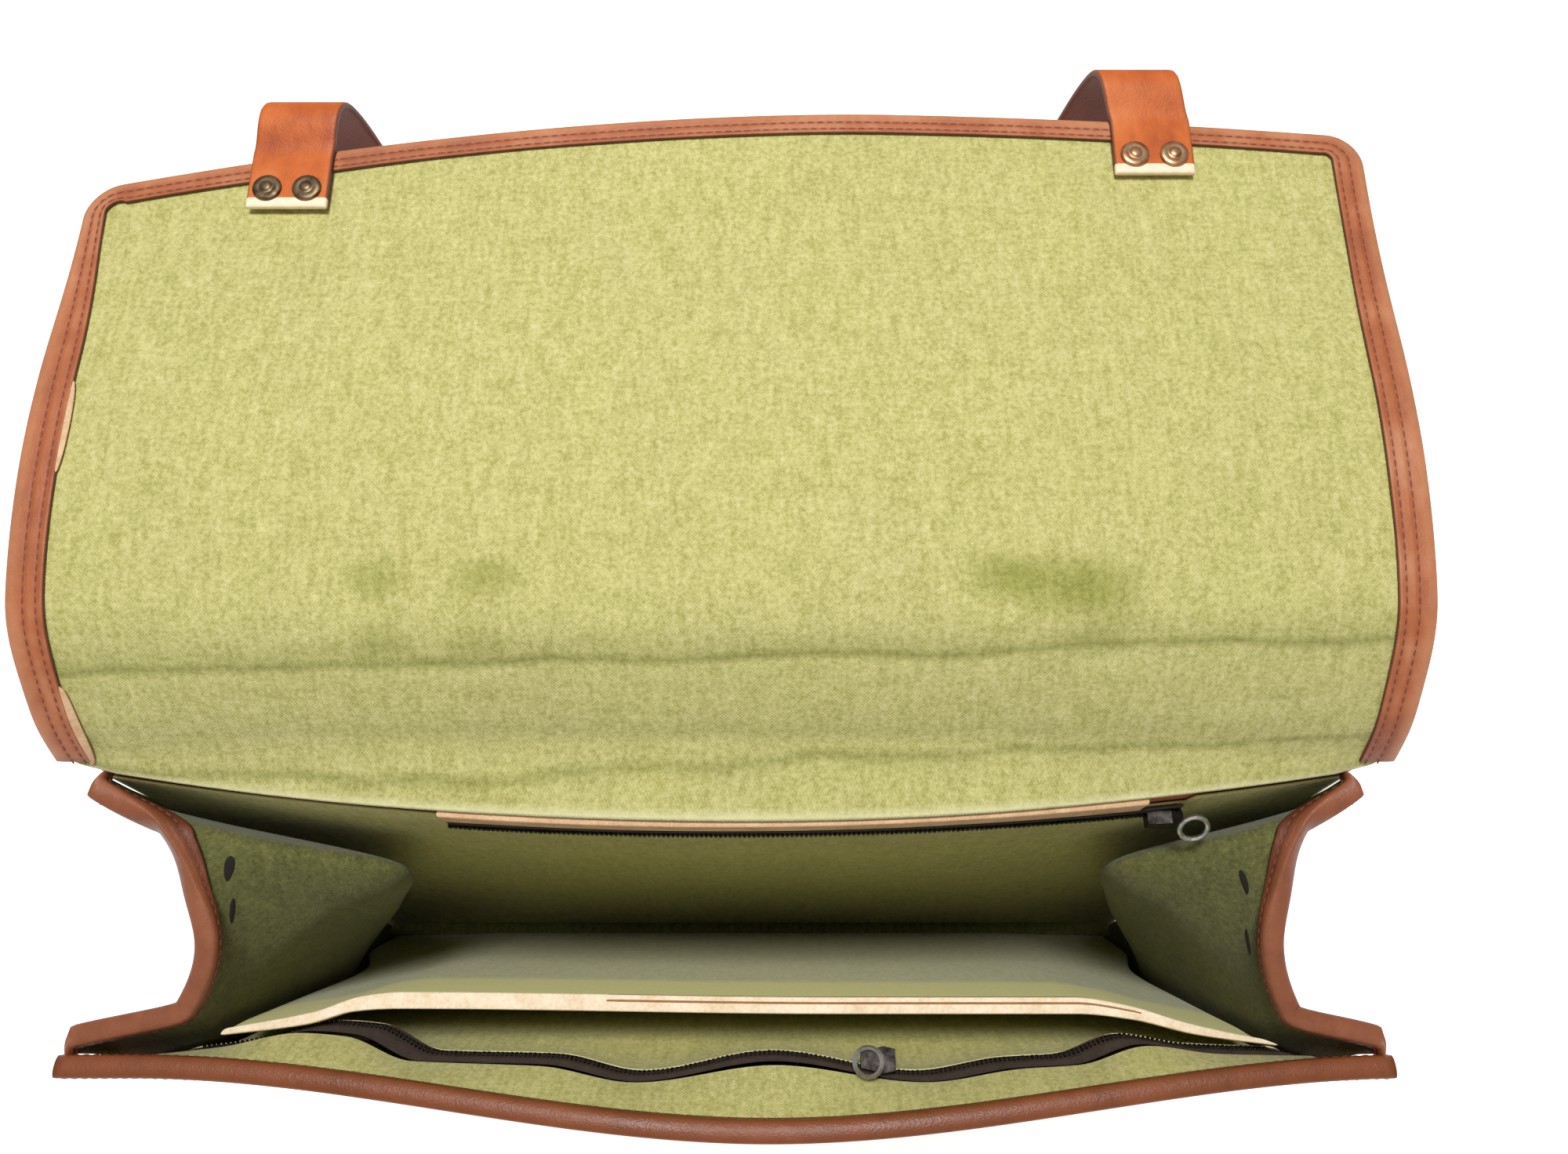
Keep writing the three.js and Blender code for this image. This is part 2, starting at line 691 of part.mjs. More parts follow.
function dividerPoint(share, up, depth) {
  const z = lerp(floorTop + clearance, dividerHeight, up);
  const foot = halfDepth - liningFace - dividerFootInset - dividerThickness;
  const before = mouthDepth * tableAt(DIVIDER_EDGE, "at", "before", share);
  const head = halfDepth - before - dividerThickness / 2;
  const thin = lerp(dividerSideShare, 1, clamp((1 - Math.abs(share)) / 0.3, 0, 1));
  const y = lerp(foot, head, up) + dividerThickness / 2 + (depth - dividerThickness / 2) * thin;
  const reach = gussetInside(share, y, z) - seamMargin - leather;
  return point(share * reach, y, z);
}

function addDivider() {
  const across = [-1, -0.92, -0.84, -0.76, -0.68, -0.5, -0.25, 0, 0.25, 0.5, 0.68, 0.78, 0.88, 1];
  add(
    "divider",
    layer(dividerPoint, across, steps(0, 1, 7), 0, dividerThickness),
    liningCanvas(),
  );
  const edge = (share, rise, depth) => {
    const place = dividerPoint(share, 1, depth);
    return place.setZ(dividerHeight + clearance + rise * dividerEdgeHeight);
  };
  add("divider_edge", layer(edge, across, [0, 1], 0, dividerThickness), creamEdge());
}

function addBackPocket() {
  const foot = backHeight - lipHeight;
  const lip = (x, z, depth) => backPoint(x, z, leather + clearance + depth);
  add(
    "back_pocket_lip",
    layer(lip, steps(backZipFrom, lipTo, 12), [foot, backHeight], 0, lipThickness),
    rawLeather(),
  );
  const tape = (x, z, depth) => backPoint(x, z, liningFace + clearance + depth);
  const tapeTop = foot - clearance;
  add(
    "back_zip_tape",
    layer(tape, steps(backZipFrom, backZipTo, 12), [tapeTop - backTapeWidth, tapeTop], 0, zipTapeThickness),
    zipTapeCloth(),
  );
}

// A slider's body with eased edges, lying along X and facing +Z before it is turned.
function sliderGeometry() {
  const outline = new THREE.Shape();
  const half = sliderLength / 2;
  const nose = sliderWidth / 2;
  outline.moveTo(-half, -nose * 0.6);
  outline.lineTo(half * 0.3, -nose);
  outline.lineTo(half, -nose * 0.8);
  outline.lineTo(half, nose * 0.8);
  outline.lineTo(half * 0.3, nose);
  outline.lineTo(-half, nose * 0.6);
  outline.closePath();
  return new THREE.ExtrudeGeometry(outline, { depth: sliderHeight, bevelEnabled: false });
}

function addSlider(name, place, turn) {
  const body = add(`${name}_slider`, sliderGeometry(), darkMetal());
  body.position.copy(place);
  body.rotation.x = turn;
  const radius = (ringDiameter - ringWire) / 2;
  const loop = steps(0, 2 * Math.PI, 17).slice(1);
  const path = loop.map((t) => point(radius * Math.cos(t), radius * Math.sin(t), 0));
  const ring = add(`${name}_ring`, wire(path, ringWire / 2, 6, true), silverMetal());
  return ring;
}

function addSliders() {
  const frontShare = frontSliderAt / (halfWidth - gussetFoldRight * 0.4);
  const slideBack = zipLineBack(frontShare) + sliderWidth / 2 + 2 * clearance;
  const frontPlace = point(frontSliderAt, slideBack, pocketZipHeight);
  frontPlace.z += zipTapeWidth * 0.3;
  const frontRing = addSlider("front_zip", frontPlace, 0);
  frontRing.position.set(
    frontSliderAt - sliderLength * 0.3,
    frontPlace.y - sliderWidth * 0.1,
    frontPlace.z + sliderHeight + ringWire / 2 + clearance,
  );

  const tapeFace = liningFace + 2 * clearance + zipTapeThickness;
  const slideZ = backHeight - lipHeight - backTapeWidth * 0.5;
  const slideX = backZipTo - sliderLength / 2;
  const backPlace = backPoint(slideX, slideZ, tapeFace + clearance);
  const backRing = addSlider("back_zip", backPlace, Math.PI / 2);
  backRing.position.set(
    slideX + sliderLength * 0.7,
    backPlace.y - sliderHeight - ringWire,
    slideZ + ringDiameter * 0.42,
  );
  backRing.rotation.x = Math.PI * 0.3;
}

// A closure strap: it is riveted on the flap's lining, turns over the free edge and hangs behind.
function addStraps() {
  const strapPath = tiltPath(STRAP_TILT, strapLength - strapLap);
  const liningTop = -2 * clearance - canvas - bindingLeather - clearance;
  const straps = [
    ["left", strapLeftAt, strapLeftShift],
    ["right", strapRightAt, strapRightShift],
  ];
  for (const [name, x, lean] of straps) {
    const end = flapEnd(x);
    const start = flapPoint(x, end, liningTop - clearance);
    const surface = (side, distance, offset) => {
      const shift = lean * clamp((distance - strapLap) / (strapLength * 0.4), 0, 1);
      const across = x + side * strapWidth * 0.5 + shift;
      if (distance <= strapLap) {
        return flapPoint(across, end - strapLap + distance, liningTop - clearance - offset);
      }
      const place = strapPath(distance - strapLap);
      const level = flapPoint(across, end, liningTop - clearance).z - start.z;
      return point(
        across,
        start.y + place.run - offset * Math.sin(place.tilt),
        start.z + level + place.rise + offset * Math.cos(place.tilt),
      );
    };
    const distances = [
      ...steps(0, strapLap, 4),
      ...steps(strapLap + 3, strapLap + 84, 19),
      ...steps(strapLap + 100, strapLength, 5),
    ];
    const strap = layer(surface, [-1, 1], distances, strapThickness, 0);
    add(`closure_strap_${name}`, strap, shellLeather());

    for (const [place, side] of [["outer", -1], ["inner", 1]]) {
      const rx = x + (side * rivetSpacing) / 2;
      const seat = liningTop - 3 * clearance - strapThickness;
      const at = flapPoint(rx, end - rivetSet, seat);
      const facing = flapPoint(rx, end - rivetSet, seat - 1).sub(at).normalize();
      const sideways = flapPoint(rx + 1, end - rivetSet, seat).sub(at).normalize();
      facing.addScaledVector(sideways, -facing.dot(sideways)).normalize();
      const profile = [
        [0, 0],
        [rivetDiameter * 0.5, 0],
        [rivetDiameter * 0.46, rivetHeight * 0.55],
        [rivetDiameter * 0.3, rivetHeight],
        [0, rivetHeight],
      ].map(([r, h]) => new THREE.Vector2(r, h));
      const cap = new THREE.LatheGeometry(profile, 14);
      const rivet = add(`strap_rivet_${name}_${place}`, cap, rivetMetal());
      rivet.position.copy(at);
      rivet.quaternion.setFromUnitVectors(point(0, 1, 0), facing);
    }
  }
}

// The middle line of a tab that hangs down, wraps a ring's bar and comes back up outside it.
// Each place counts outwards from the gusset's face and down from the tab's top.
function tabLine() {
  const bend = (tabRingWire + tabThickness) / 2 + clearance;
  const innerFace = tabThickness / 2;
  const outerFace = innerFace + tabThickness + clearance;
  const turns = steps(0, Math.PI, 7).map((turn) => [
    innerFace + bend * (1 - Math.cos(turn)),
    tabLength + bend * Math.sin(turn),
  ]);
  const downLeg = [[innerFace, 0], [innerFace, tabLength - bend]];
  const upLeg = [[outerFace, tabLength - 3 * bend], [outerFace, 0]];
  return [...downLeg, ...turns, ...upLeg];
}

// A side tab: a folded strap on the gusset's leather, with a plain ring held in its fold.
function addSideTabs() {
  const line = tabLine();
  for (const [name, side] of [["left", -1], ["right", 1]]) {
    const touch = (up, out) => gussetPoint(side, tabTouchShare, up, -leather - out);
    const top = touch(1 - tabDrop / gussetMidHeight, tabStandoff);
    const foot = touch(1 - (tabDrop + tabLength) / gussetMidHeight, tabStandoff + tabKick);
    const down = point(foot.x - top.x, 0, foot.z - top.z).normalize();
    const out = point(-side * down.z, 0, side * down.x);
    const at = (outwards, downwards, back) =>
      top.clone().addScaledVector(out, outwards).addScaledVector(down, downwards).add(point(0, back, 0));
    const face = (i, j, half) => {
      const before = line[Math.max(j - 1, 0)];
      const after = line[Math.min(j + 1, line.length - 1)];
      const slope = new THREE.Vector2(after[0] - before[0], after[1] - before[1]).normalize();
      return at(line[j][0] + slope.y * half, line[j][1] - slope.x * half, i * tabWidth);
    };
    const half = tabThickness / 2;
    const strap = wall(2, line.length, (i, j) => face(i, j, half), (i, j) => face(i, j, -half));
    add(`side_tab_${name}`, strap, shellLeather());

    const bar = tabThickness + clearance + tabRingWire / 2;
    const ringWidth = tabWidth + 2.4 * tabRingWire;
    const places = roundedLoop(ringWidth, tabRingHeight, tabRingWire, 4);
    const path = places.map(([along, up]) =>
      at(bar, tabLength + tabRingHeight / 2 - up, tabWidth / 2 + along),
    );
    add(`side_ring_${name}`, wire(path, tabRingWire / 2, 6, true), silverMetal());
  }
}

// The plain buckles that the closure straps fasten to: a frame with one bar, on the front leather.
function addBuckles() {
  for (const [name, x] of [["left", strapLeftAt], ["right", strapRightAt]]) {
    const frame = new THREE.Shape(
      roundedLoop(buckleWidth, buckleHeight, buckleWire * 1.5, 4).map(([a, b]) => new THREE.Vector2(a, b)),
    );
    const holeHeight = (buckleHeight - 3 * buckleWire) / 2;
    for (const sign of [-1, 1]) {
      const hole = new THREE.Path();
      const middle = (sign * (holeHeight + buckleWire)) / 2;
      const w = buckleWidth / 2 - buckleWire;
      hole.moveTo(-w, middle - holeHeight / 2);
      hole.lineTo(w, middle - holeHeight / 2);
      hole.lineTo(w, middle + holeHeight / 2);
      hole.lineTo(-w, middle + holeHeight / 2);
      hole.closePath();
      frame.holes.push(hole);
    }
    const geometry = new THREE.ExtrudeGeometry(frame, { depth: buckleWire, bevelEnabled: false });
    const rise = frontFace(x, buckleAt + buckleHeight / 2) - frontFace(x, buckleAt - buckleHeight / 2);
    geometry.rotateX(Math.PI / 2 - Math.atan2(rise, buckleHeight));
    const buckle = add(`buckle_${name}`, geometry, rivetMetal());
    const nearMiddle = x - (Math.sign(x) * buckleWidth) / 2;
    buckle.position.set(x, frontFace(nearMiddle, buckleAt) - 2 * clearance, buckleAt);
  }
}

addShell();
addBackLining();
addFlap();
addGussets();
addFrontPocket();
addDivider();
addBackPocket();
addSliders();
addStraps();
addSideTabs();
addBuckles();

export default bag;
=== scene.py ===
"""A laptop messenger bag, open, with its flap laid back: the finish around its fixed frame.

Every length is in metres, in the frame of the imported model: +X to the right as seen from the
front, +Y to the back, +Z up, and the origin at the centre of the base's underside.
"""

from __future__ import annotations

import logging
import math
from collections.abc import Callable, Sequence
from dataclasses import dataclass, field
from enum import Enum

import bmesh
import bpy
import numpy as np
from mathutils import Matrix, Vector, noise

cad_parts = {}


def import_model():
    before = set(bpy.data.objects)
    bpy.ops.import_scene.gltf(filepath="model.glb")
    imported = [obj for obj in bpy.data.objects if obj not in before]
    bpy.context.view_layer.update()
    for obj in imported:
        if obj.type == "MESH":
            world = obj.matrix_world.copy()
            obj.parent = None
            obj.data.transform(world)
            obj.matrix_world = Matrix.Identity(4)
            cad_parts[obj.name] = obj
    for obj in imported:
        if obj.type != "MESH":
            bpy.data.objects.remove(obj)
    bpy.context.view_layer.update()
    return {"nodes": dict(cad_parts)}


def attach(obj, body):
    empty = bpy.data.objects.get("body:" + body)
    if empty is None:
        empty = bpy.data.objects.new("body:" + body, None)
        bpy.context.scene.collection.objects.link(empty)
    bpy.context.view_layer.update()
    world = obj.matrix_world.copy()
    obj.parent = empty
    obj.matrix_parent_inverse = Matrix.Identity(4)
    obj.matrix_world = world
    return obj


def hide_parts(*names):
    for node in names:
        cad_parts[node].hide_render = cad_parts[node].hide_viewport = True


MM = 0.001
BODY = "root"
SIDES = (("left", -1), ("right", 1))
STITCH_LIFT = 0.42 * MM
LOG = logging.getLogger("bag")

Array = np.ndarray
Surface = Callable[[Array, Array, Array], Array]
Colour = tuple[float, float, float]


def srgb(red: int, green: int, blue: int) -> Colour:
    """Return a display colour, given as 0 to 255, as the linear colour that shaders take."""
    shares = (channel / 255 for channel in (red, green, blue))
    return tuple(s / 12.92 if s <= 0.04045 else ((s + 0.055) / 1.055) ** 2.4 for s in shares)


def tones(*colours: tuple[int, int, int]) -> list[Colour]:
    """Return several display colours as linear ones."""
    return [srgb(*colour) for colour in colours]


def spread(start: float, end: float, count: int) -> Array:
    """Return evenly spaced places from start to end."""
    return np.linspace(start, end, count)


def rimmed(places: Array, near: float) -> Array:
    """Add a close pair of places inside each end, so that a sheet's border can be rounded.

    Args:
        places: Rising places along a sheet.
        near: How far from each end the added places lie.

    Returns:
        The places with the added ones.
    """
    added = [places[0] + near * 0.35, places[0] + near, places[-1] - near, places[-1] - near * 0.35]
    return np.unique(np.concatenate([places, added]))


def ease(knots: Sequence[float], values: Sequence[Array], at: Array) -> Array:
    """Ease between values at knots, without overshoot.

    Args:
        knots: Rising places.
        values: One number or array for each knot.
        at: Where to read, clamped to the knots' range.

    Returns:
        The eased values, in the common shape of values and at.
    """
    *rows, at = np.broadcast_arrays(*values, at)
    rows = np.stack(rows).astype(float)
    knots = np.asarray(knots, float)
    at = np.clip(at, knots[0], knots[-1])
    spans = np.diff(knots).reshape((-1,) + (1,) * at.ndim)
    slopes = np.diff(rows, axis=0) / spans
    before, after = slopes[:-1], slopes[1:]
    same = before * after > 0
    total = np.where(same, before + after, 1.0)
    middle = np.where(same, 2 * before * after / total, 0.0)
    bends = np.concatenate([slopes[:1], middle, slopes[-1:]])
    index = np.clip(np.searchsorted(knots, at, side="right") - 1, 0, len(knots) - 2)

    def pick(stack: Array, step: int = 0) -> Array:
        """Return the entry of a stack that each place needs."""
        return np.take_along_axis(stack, (index + step)[None], axis=0)[0]

    span = np.diff(knots)[index]
    t = (at - knots[index]) / span
    rise = pick(rows, 1) - pick(rows)
    first = pick(bends) * span - rise
    second = rise - pick(bends, 1) * span
    return pick(rows) + t * rise + t * (1 - t) * (first * (1 - t) + second * t)


def places_of(*axes: Array) -> Array:
    """Stack x, y and z arrays of one shape into places."""
    return np.stack(np.broadcast_arrays(*axes), axis=-1)


def ripple(across: Array, along: Array, scale: float, seed: float) -> Array:
    """Return smooth noise from -1 to 1 over a grid.

    Args:
        across: Places across, of shape (n, 1).
        along: Places along, of shape (1, m).
        scale: Waves for each metre.
        seed: Moves the pattern.

    Returns:
        Noise of shape (n, m).
    """
    grid = np.broadcast_arrays(across, along)
    flat = [
        noise.noise(Vector((a * scale + seed, b * scale - seed, seed)))
        for a, b in zip(grid[0].ravel(), grid[1].ravel(), strict=True)
    ]
    return np.array(flat).reshape(grid[0].shape)


@dataclass(frozen=True)
class BagForm:
    """The bag's surfaces, worked out from its sizes as in the construction."""

    body_width: float = 392 * MM
    body_depth: float = 78 * MM
    back_height: float = 285 * MM
    front_height: float = 250 * MM
    front_flare: float = 8 * MM
    mouth_depth: float = 105 * MM
    mouth_depth_side: float = 87 * MM
    mouth_bulge_at: float = 14 * MM
    ridge_bow: float = 16 * MM
    leather: float = 2 * MM
    canvas: float = 1 * MM
    clearance: float = 0.3 * MM
    binding_leather: float = 1.2 * MM
    binding_slack: float = 0.85 * MM
    flap_width: float = 409 * MM
    flap_length: float = 222.5 * MM
    flap_side_length: float = 213 * MM
    flap_skew: float = 20 * MM
    flap_corner: float = 10 * MM
    flap_heel_corner: float = 9 * MM
    lip_depth: float = 14 * MM
    gusset_fold_left: float = 84 * MM
    gusset_fold_right: float = 66 * MM
    gusset_mid_height: float = 265 * MM
    ear_gap: float = 9.8 * MM
    divider_height: float = 235 * MM
    divider_thickness: float = 5 * MM
    divider_side_share: float = 0.4
    divider_foot_inset: float = 5 * MM
    seam_margin: float = 2.4 * MM
    zip_height: float = 230 * MM
    zip_set: float = 25 * MM
    zip_wave: float = 10 * MM
    back_zip_from: float = -88 * MM
    back_zip_to: float = 144 * MM
    back_lip_height: float = 10 * MM
    ear_from: float = 0.86
    ear_span: float = 0.08
    seam_span: float = 0.1
    back_carry: tuple[float, float] = (0.022, 0.02)
    ear_carry: float = 0.05

    FLAP_TILT = (
        (0, 0.06, 0.11, 0.17, 0.22, 0.27, 0.34, 0.43, 0.52, 0.64, 0.78, 0.9, 1),
        (70, 64, 52, 49, 39, 23, 18, 13, 8, 4, 7, 10, 9),
    )
    FOLD_DEPTHS = (0.0, 0.12, 0.38, 0.64, 0.86, 1.0)
    FOLD_RISES = (0.0, 0.2, 0.42, 0.64, 0.84, 0.94, 1.0)
    FOLDS = (
        (0, 0, 0, 0, 0, 0, 0),
        (0, 0.03, 0.12, 0.2, 0.3, 0.39, 0.41),
        (0, 0.05, 0.23, 0.36, 0.45, 0.47, 0.475),
        (0, 0.07, 0.36, 0.58, 0.68, 0.5, 0.39),
        (0, 0.06, 0.46, 0.77, 0.98, 0.6, 0.26),
        (0, 0, 0, 0, 0, 0, 0),
    )
    DIVIDER_EDGE = (
        (-1, -0.84, -0.76, -0.68, 0.24, 0.68, 0.78, 0.88, 1),
        (0.71, 0.67, 0.63, 0.62, 0.635, 0.635, 0.655, 0.7, 0.74),
    )
    ZIP_LINE = (
        (-1, -0.87, -0.74, -0.66, -0.54, -0.32, -0.16, 0.08, 0.34, 0.5, 0.6, 0.72, 0.84, 1),
        (-0.1, 0.2, 0.7, 0.6, -0.2, -0.3, -0.8, -0.2, -0.8, -0.4, -0.3, 0.3, 0, -0.1),
    )
    POCKET_DROP = (
        (0, 0.16, 0.36, 0.62, 0.86, 1),
        (0.21, 0.31, 0.39, 0.42, 0.3, 0.06),
    )
    STRAP_TILT = (
        (0, 0.03, 0.06, 0.085, 0.12, 0.2, 0.6, 1),
        (14, 36, 24, -25, -72, -87, -92, -94),
    )

    @property
    def half_width(self) -> float:
        """Half of the body's width."""
        return self.body_width / 2

    @property
    def half_depth(self) -> float:
        """Half of the body's depth."""
        return self.body_depth / 2

    @property
    def lining_face(self) -> float:
        """The depth of a lining's inner face behind the leather's outer face."""
        return self.leather + self.clearance + self.canvas

    def across_share(self, x: Array) -> Array:
        """Return 1 in the bag's middle, easing to 0 at its sides."""
        return 1 - np.clip(np.abs(x) / self.half_width, 0, 1) ** 2

    def back(self, x: Array, z: Array, depth: Array) -> Array:
        """Place on the back, at a depth counted inwards from its outer face."""
        bow = self.ridge_bow * self.across_share(x) * np.clip(z / self.back_height, 0, 1) ** 2
        return places_of(x, self.half_depth - bow - depth, z)

    def front_half_width(self, z: Array) -> Array:
        """Return half of the front's width at a height."""
        return self.half_width + self.front_flare * np.clip(z / self.front_height, 0, 1) ** 2

    def front_face(self, x: Array, z: Array) -> Array:
        """Return how far forward the front's outer face stands, as a y."""
        out = np.clip(np.abs(x - self.mouth_bulge_at) / self.half_width, 0, 1)
        aside = out * out * (3 - 2 * out)
        mouth = self.mouth_depth + (self.mouth_depth_side - self.mouth_depth) * aside
        risen = np.clip(z / self.front_height, 0, 1) ** 1.3
        return -self.half_depth + (self.body_depth - mouth) * risen

    def front(self, share: Array, z: Array, depth: Array) -> Array:
        """Place on the front, at a share of its half width."""
        x = share * self.front_half_width(z)
        return places_of(x, self.front_face(x, z) + depth, z)

    def gusset_top(self, depth_share: Array) -> Array:
        """Return the height of a gusset's top edge."""
        middle = self.FOLD_DEPTHS[2]
        to_middle = np.clip(depth_share / middle, 0, 1)
        past = np.clip((depth_share - middle) / (1 - middle), 0, 1)
        risen = self.front_height + (self.gusset_mid_height - self.front_height) * to_middle
        return risen + (self.back_height - self.gusset_mid_height) * past

    def gusset_drawn_in(self, side: Array, depth_share: Array, up_share: Array) -> Array:
        """Return how far a gusset is drawn in at a place, the left one where side is below 0."""
        columns = [ease(self.FOLD_RISES, column, up_share) for column in self.FOLDS]
        fold = np.where(np.asarray(side) < 0, self.gusset_fold_left, self.gusset_fold_right)
        return fold * ease(self.FOLD_DEPTHS, columns, depth_share)

    def opened(self, up_share: Array) -> Array:
        """Return how far a gusset has opened towards its ear, from 0 to 1."""
        return np.clip((up_share - self.ear_from) / self.ear_span, 0, 1)

    def gusset_skin(self, side: int, depth_share: Array, up_share: Array) -> Array:
        """Place on a gusset's skin, before it has thickness."""
        foot = self.leather + self.clearance
        z = foot + (self.gusset_top(depth_share) - foot) * up_share
        flare = (1 - depth_share) * (self.front_half_width(z) - self.half_width)
        drawn = self.gusset_drawn_in(side, depth_share, up_share)
        x = side * (self.half_width - self.leather - self.clearance + flare - drawn)
        opening = self.opened(up_share)
        seam = 2 * self.leather + self.clearance
        front = self.front_face(x, z) + seam + (self.ear_gap - seam) * opening
        bow = self.ridge_bow * self.across_share(x) * np.clip(z / self.back_height, 0, 1) ** 2
        back_depth = self.lining_face + self.clearance + self.leather
        back_depth = back_depth + opening * (self.binding_leather + self.binding_slack)
        back = self.half_depth - bow - back_depth
        return places_of(x, front + (back - front) * depth_share, z)

    def gusset(self, side: int) -> Surface:
        """Return the surface of one gusset, with its offset counted into the bag."""

        def surface(depth_share: Array, up_share: Array, inward: Array) -> Array:
            """Place on the gusset at an offset from its skin."""
            small = 0.004
            middle = np.clip(depth_share, small, 1 - small)
            low, high = middle - small, middle + small
            below, above = np.clip(up_share - small, 0, 1), np.clip(up_share + small, 0, 1)
            back_way = self.gusset_skin(side, high, up_share) - self.gusset_skin(side, low, up_share)
            up_way = self.gusset_skin(side, depth_share, above) - self.gusset_skin(side, depth_share, below)
            normal = np.cross(back_way, up_way)
            normal /= np.linalg.norm(normal, axis=-1, keepdims=True)
            offset = np.asarray(inward, float)[..., None]
            return self.gusset_skin(side, depth_share, up_share) - side * normal * offset

        return surface

    def sewn_gusset(self, side: int) -> Surface:
        """Return a gusset's surface, carried on to the back's lining and, at its ear, to the front's."""
        surface = self.gusset(side)

        def carried(depth_share: Array, up_share: Array, inward: Array) -> Array:
            """Place on the carried surface."""
            risen = self.opened(up_share)
            behind = np.clip((depth_share - (1 - self.seam_span)) / self.seam_span, 0, 1)
            past = behind * (self.back_carry[0] + self.back_carry[1] * risen)
            ahead = np.clip((self.seam_span - depth_share) / self.seam_span, 0, 1) * self.ear_carry * risen
            return surface(depth_share + past - ahead, up_share, inward)

        return carried

    def gusset_inside(self, side: Array, y: Array, z: Array) -> Array:
        """Return how far from the middle a gusset's lining stands at a place."""
        front = self.front_face(self.half_width, z) + self.leather + self.clearance
        depth = self.half_depth - self.lining_face - self.leather - front
        share = np.clip((y - front) / depth, 0, 1)
        floor = self.lining_face
        up = np.clip((z - floor) / (self.gusset_top(share) - floor), 0, 1)
        flare = (1 - share) * (self.front_half_width(z) - self.half_width)
        drawn = self.gusset_drawn_in(side, share, up)
        return self.half_width - self.leather + flare - drawn - 2 * self.canvas - self.clearance

    def flap_aside(self, x: Array) -> Array:
        """Return how much of the flap's skew shows at a place across it."""
        half = self.flap_width / 2
        return np.clip((half * 0.25 - x) / (half * 1.25), 0, 1) ** 1.6

    def flap_end(self, x: Array, inset: float = 0.0, corner: float | None = None) -> Array:
        """Return how far up the flap its free edge lies, with a round corner."""
        corner = self.flap_corner if corner is None else corner
        half = self.flap_width / 2 - inset
        past = np.maximum(0, np.abs(x) - (half - corner))
        across = 1 - np.clip(np.abs(x) / (self.flap_width / 2), 0, 1) ** 2
        straight = self.flap_side_length + (self.flap_length - self.flap_side_length) * across
        straight = straight - self.flap_skew * self.flap_aside(x)
        return straight - corner + np.sqrt(np.maximum(0, corner**2 - past**2))

    def flap_heel(self, x: Array) -> Array:
        """Return how far up the flap its hinge edge starts, round at the sides."""
        corner = self.flap_heel_corner
        past = np.maximum(0, np.abs(x) - (self.flap_width / 2 - corner))
        return corner - np.sqrt(np.maximum(0, corner**2 - past**2))

    def flap(self, x: Array, up: Array, offset: Array) -> Array:
        """Place on the flap, with its offset counted towards its leather side."""
        run, rise, tilt = TiltPath(self.FLAP_TILT, self.flap_length).at(up)
        pulled = self.ridge_bow * self.across_share(x) * np.clip(1 - up / self.lip_depth, 0, 1) ** 1.5
        y = self.half_depth + run - pulled + offset * np.sin(tilt)
        z = self.back_height + self.clearance + rise - offset * np.cos(tilt)
        return places_of(x, y, z)

    def zip_back(self, share: Array) -> Array:
        """Return the y of the front pocket's zip line."""
        mouth = self.half_depth - self.mouth_depth
        return mouth + self.zip_set + self.zip_wave * ease(*self.ZIP_LINE, share)

    def divider(self, share: Array, up: Array, depth: Array) -> Array:
        """Place on the divider, from its foot to its top edge."""
        low = self.lining_face + self.clearance
        z = low + (self.divider_height - low) * up
        foot = self.half_depth - self.lining_face - self.divider_foot_inset - self.divider_thickness
        half = self.divider_thickness / 2
        head = self.half_depth - self.mouth_depth * ease(*self.DIVIDER_EDGE, share) - half
        full = np.clip((1 - np.abs(share)) / 0.3, 0, 1)
        thin = self.divider_side_share + (1 - self.divider_side_share) * full
        y = foot + (head - foot) * up + half + (depth - half) * thin
        reach = self.gusset_inside(share, y, z) - self.seam_margin - self.leather
        return places_of(share * reach, y, z)


def placed(name: str, data: bpy.types.ID) -> bpy.types.Object:
    """Make an object and put it in the scene."""
    made = bpy.data.objects.new(name, data)
    bpy.context.scene.collection.objects.link(made)
    return made


@dataclass(frozen=True)
class TiltPath:
    """A path in a plane that follows a table of tilts, in degrees at shares of its length."""

    rows: tuple[Sequence[float], Sequence[float]]
    length: float
    pieces: int = 80

    def at(self, distance: Array) -> tuple[Array, Array, Array]:
        """Return the run, the rise and the tilt at a distance along the path."""
        middles = (np.arange(self.pieces) + 0.5) / self.pieces
        angles = np.radians(ease(*self.rows, middles))
        step = self.length / self.pieces
        stops = np.linspace(0, self.length, self.pieces + 1)
        runs = np.concatenate([[0], np.cumsum(np.cos(angles)) * step])
        rises = np.concatenate([[0], np.cumsum(np.sin(angles)) * step])
        tilt = np.radians(ease(*self.rows, np.asarray(distance) / self.length))
        past = distance - np.clip(distance, 0, self.length)
        run = np.interp(distance, stops, runs) + past * np.cos(tilt)
        rise = np.interp(distance, stops, rises) + past * np.sin(tilt)
        return run, rise, tilt


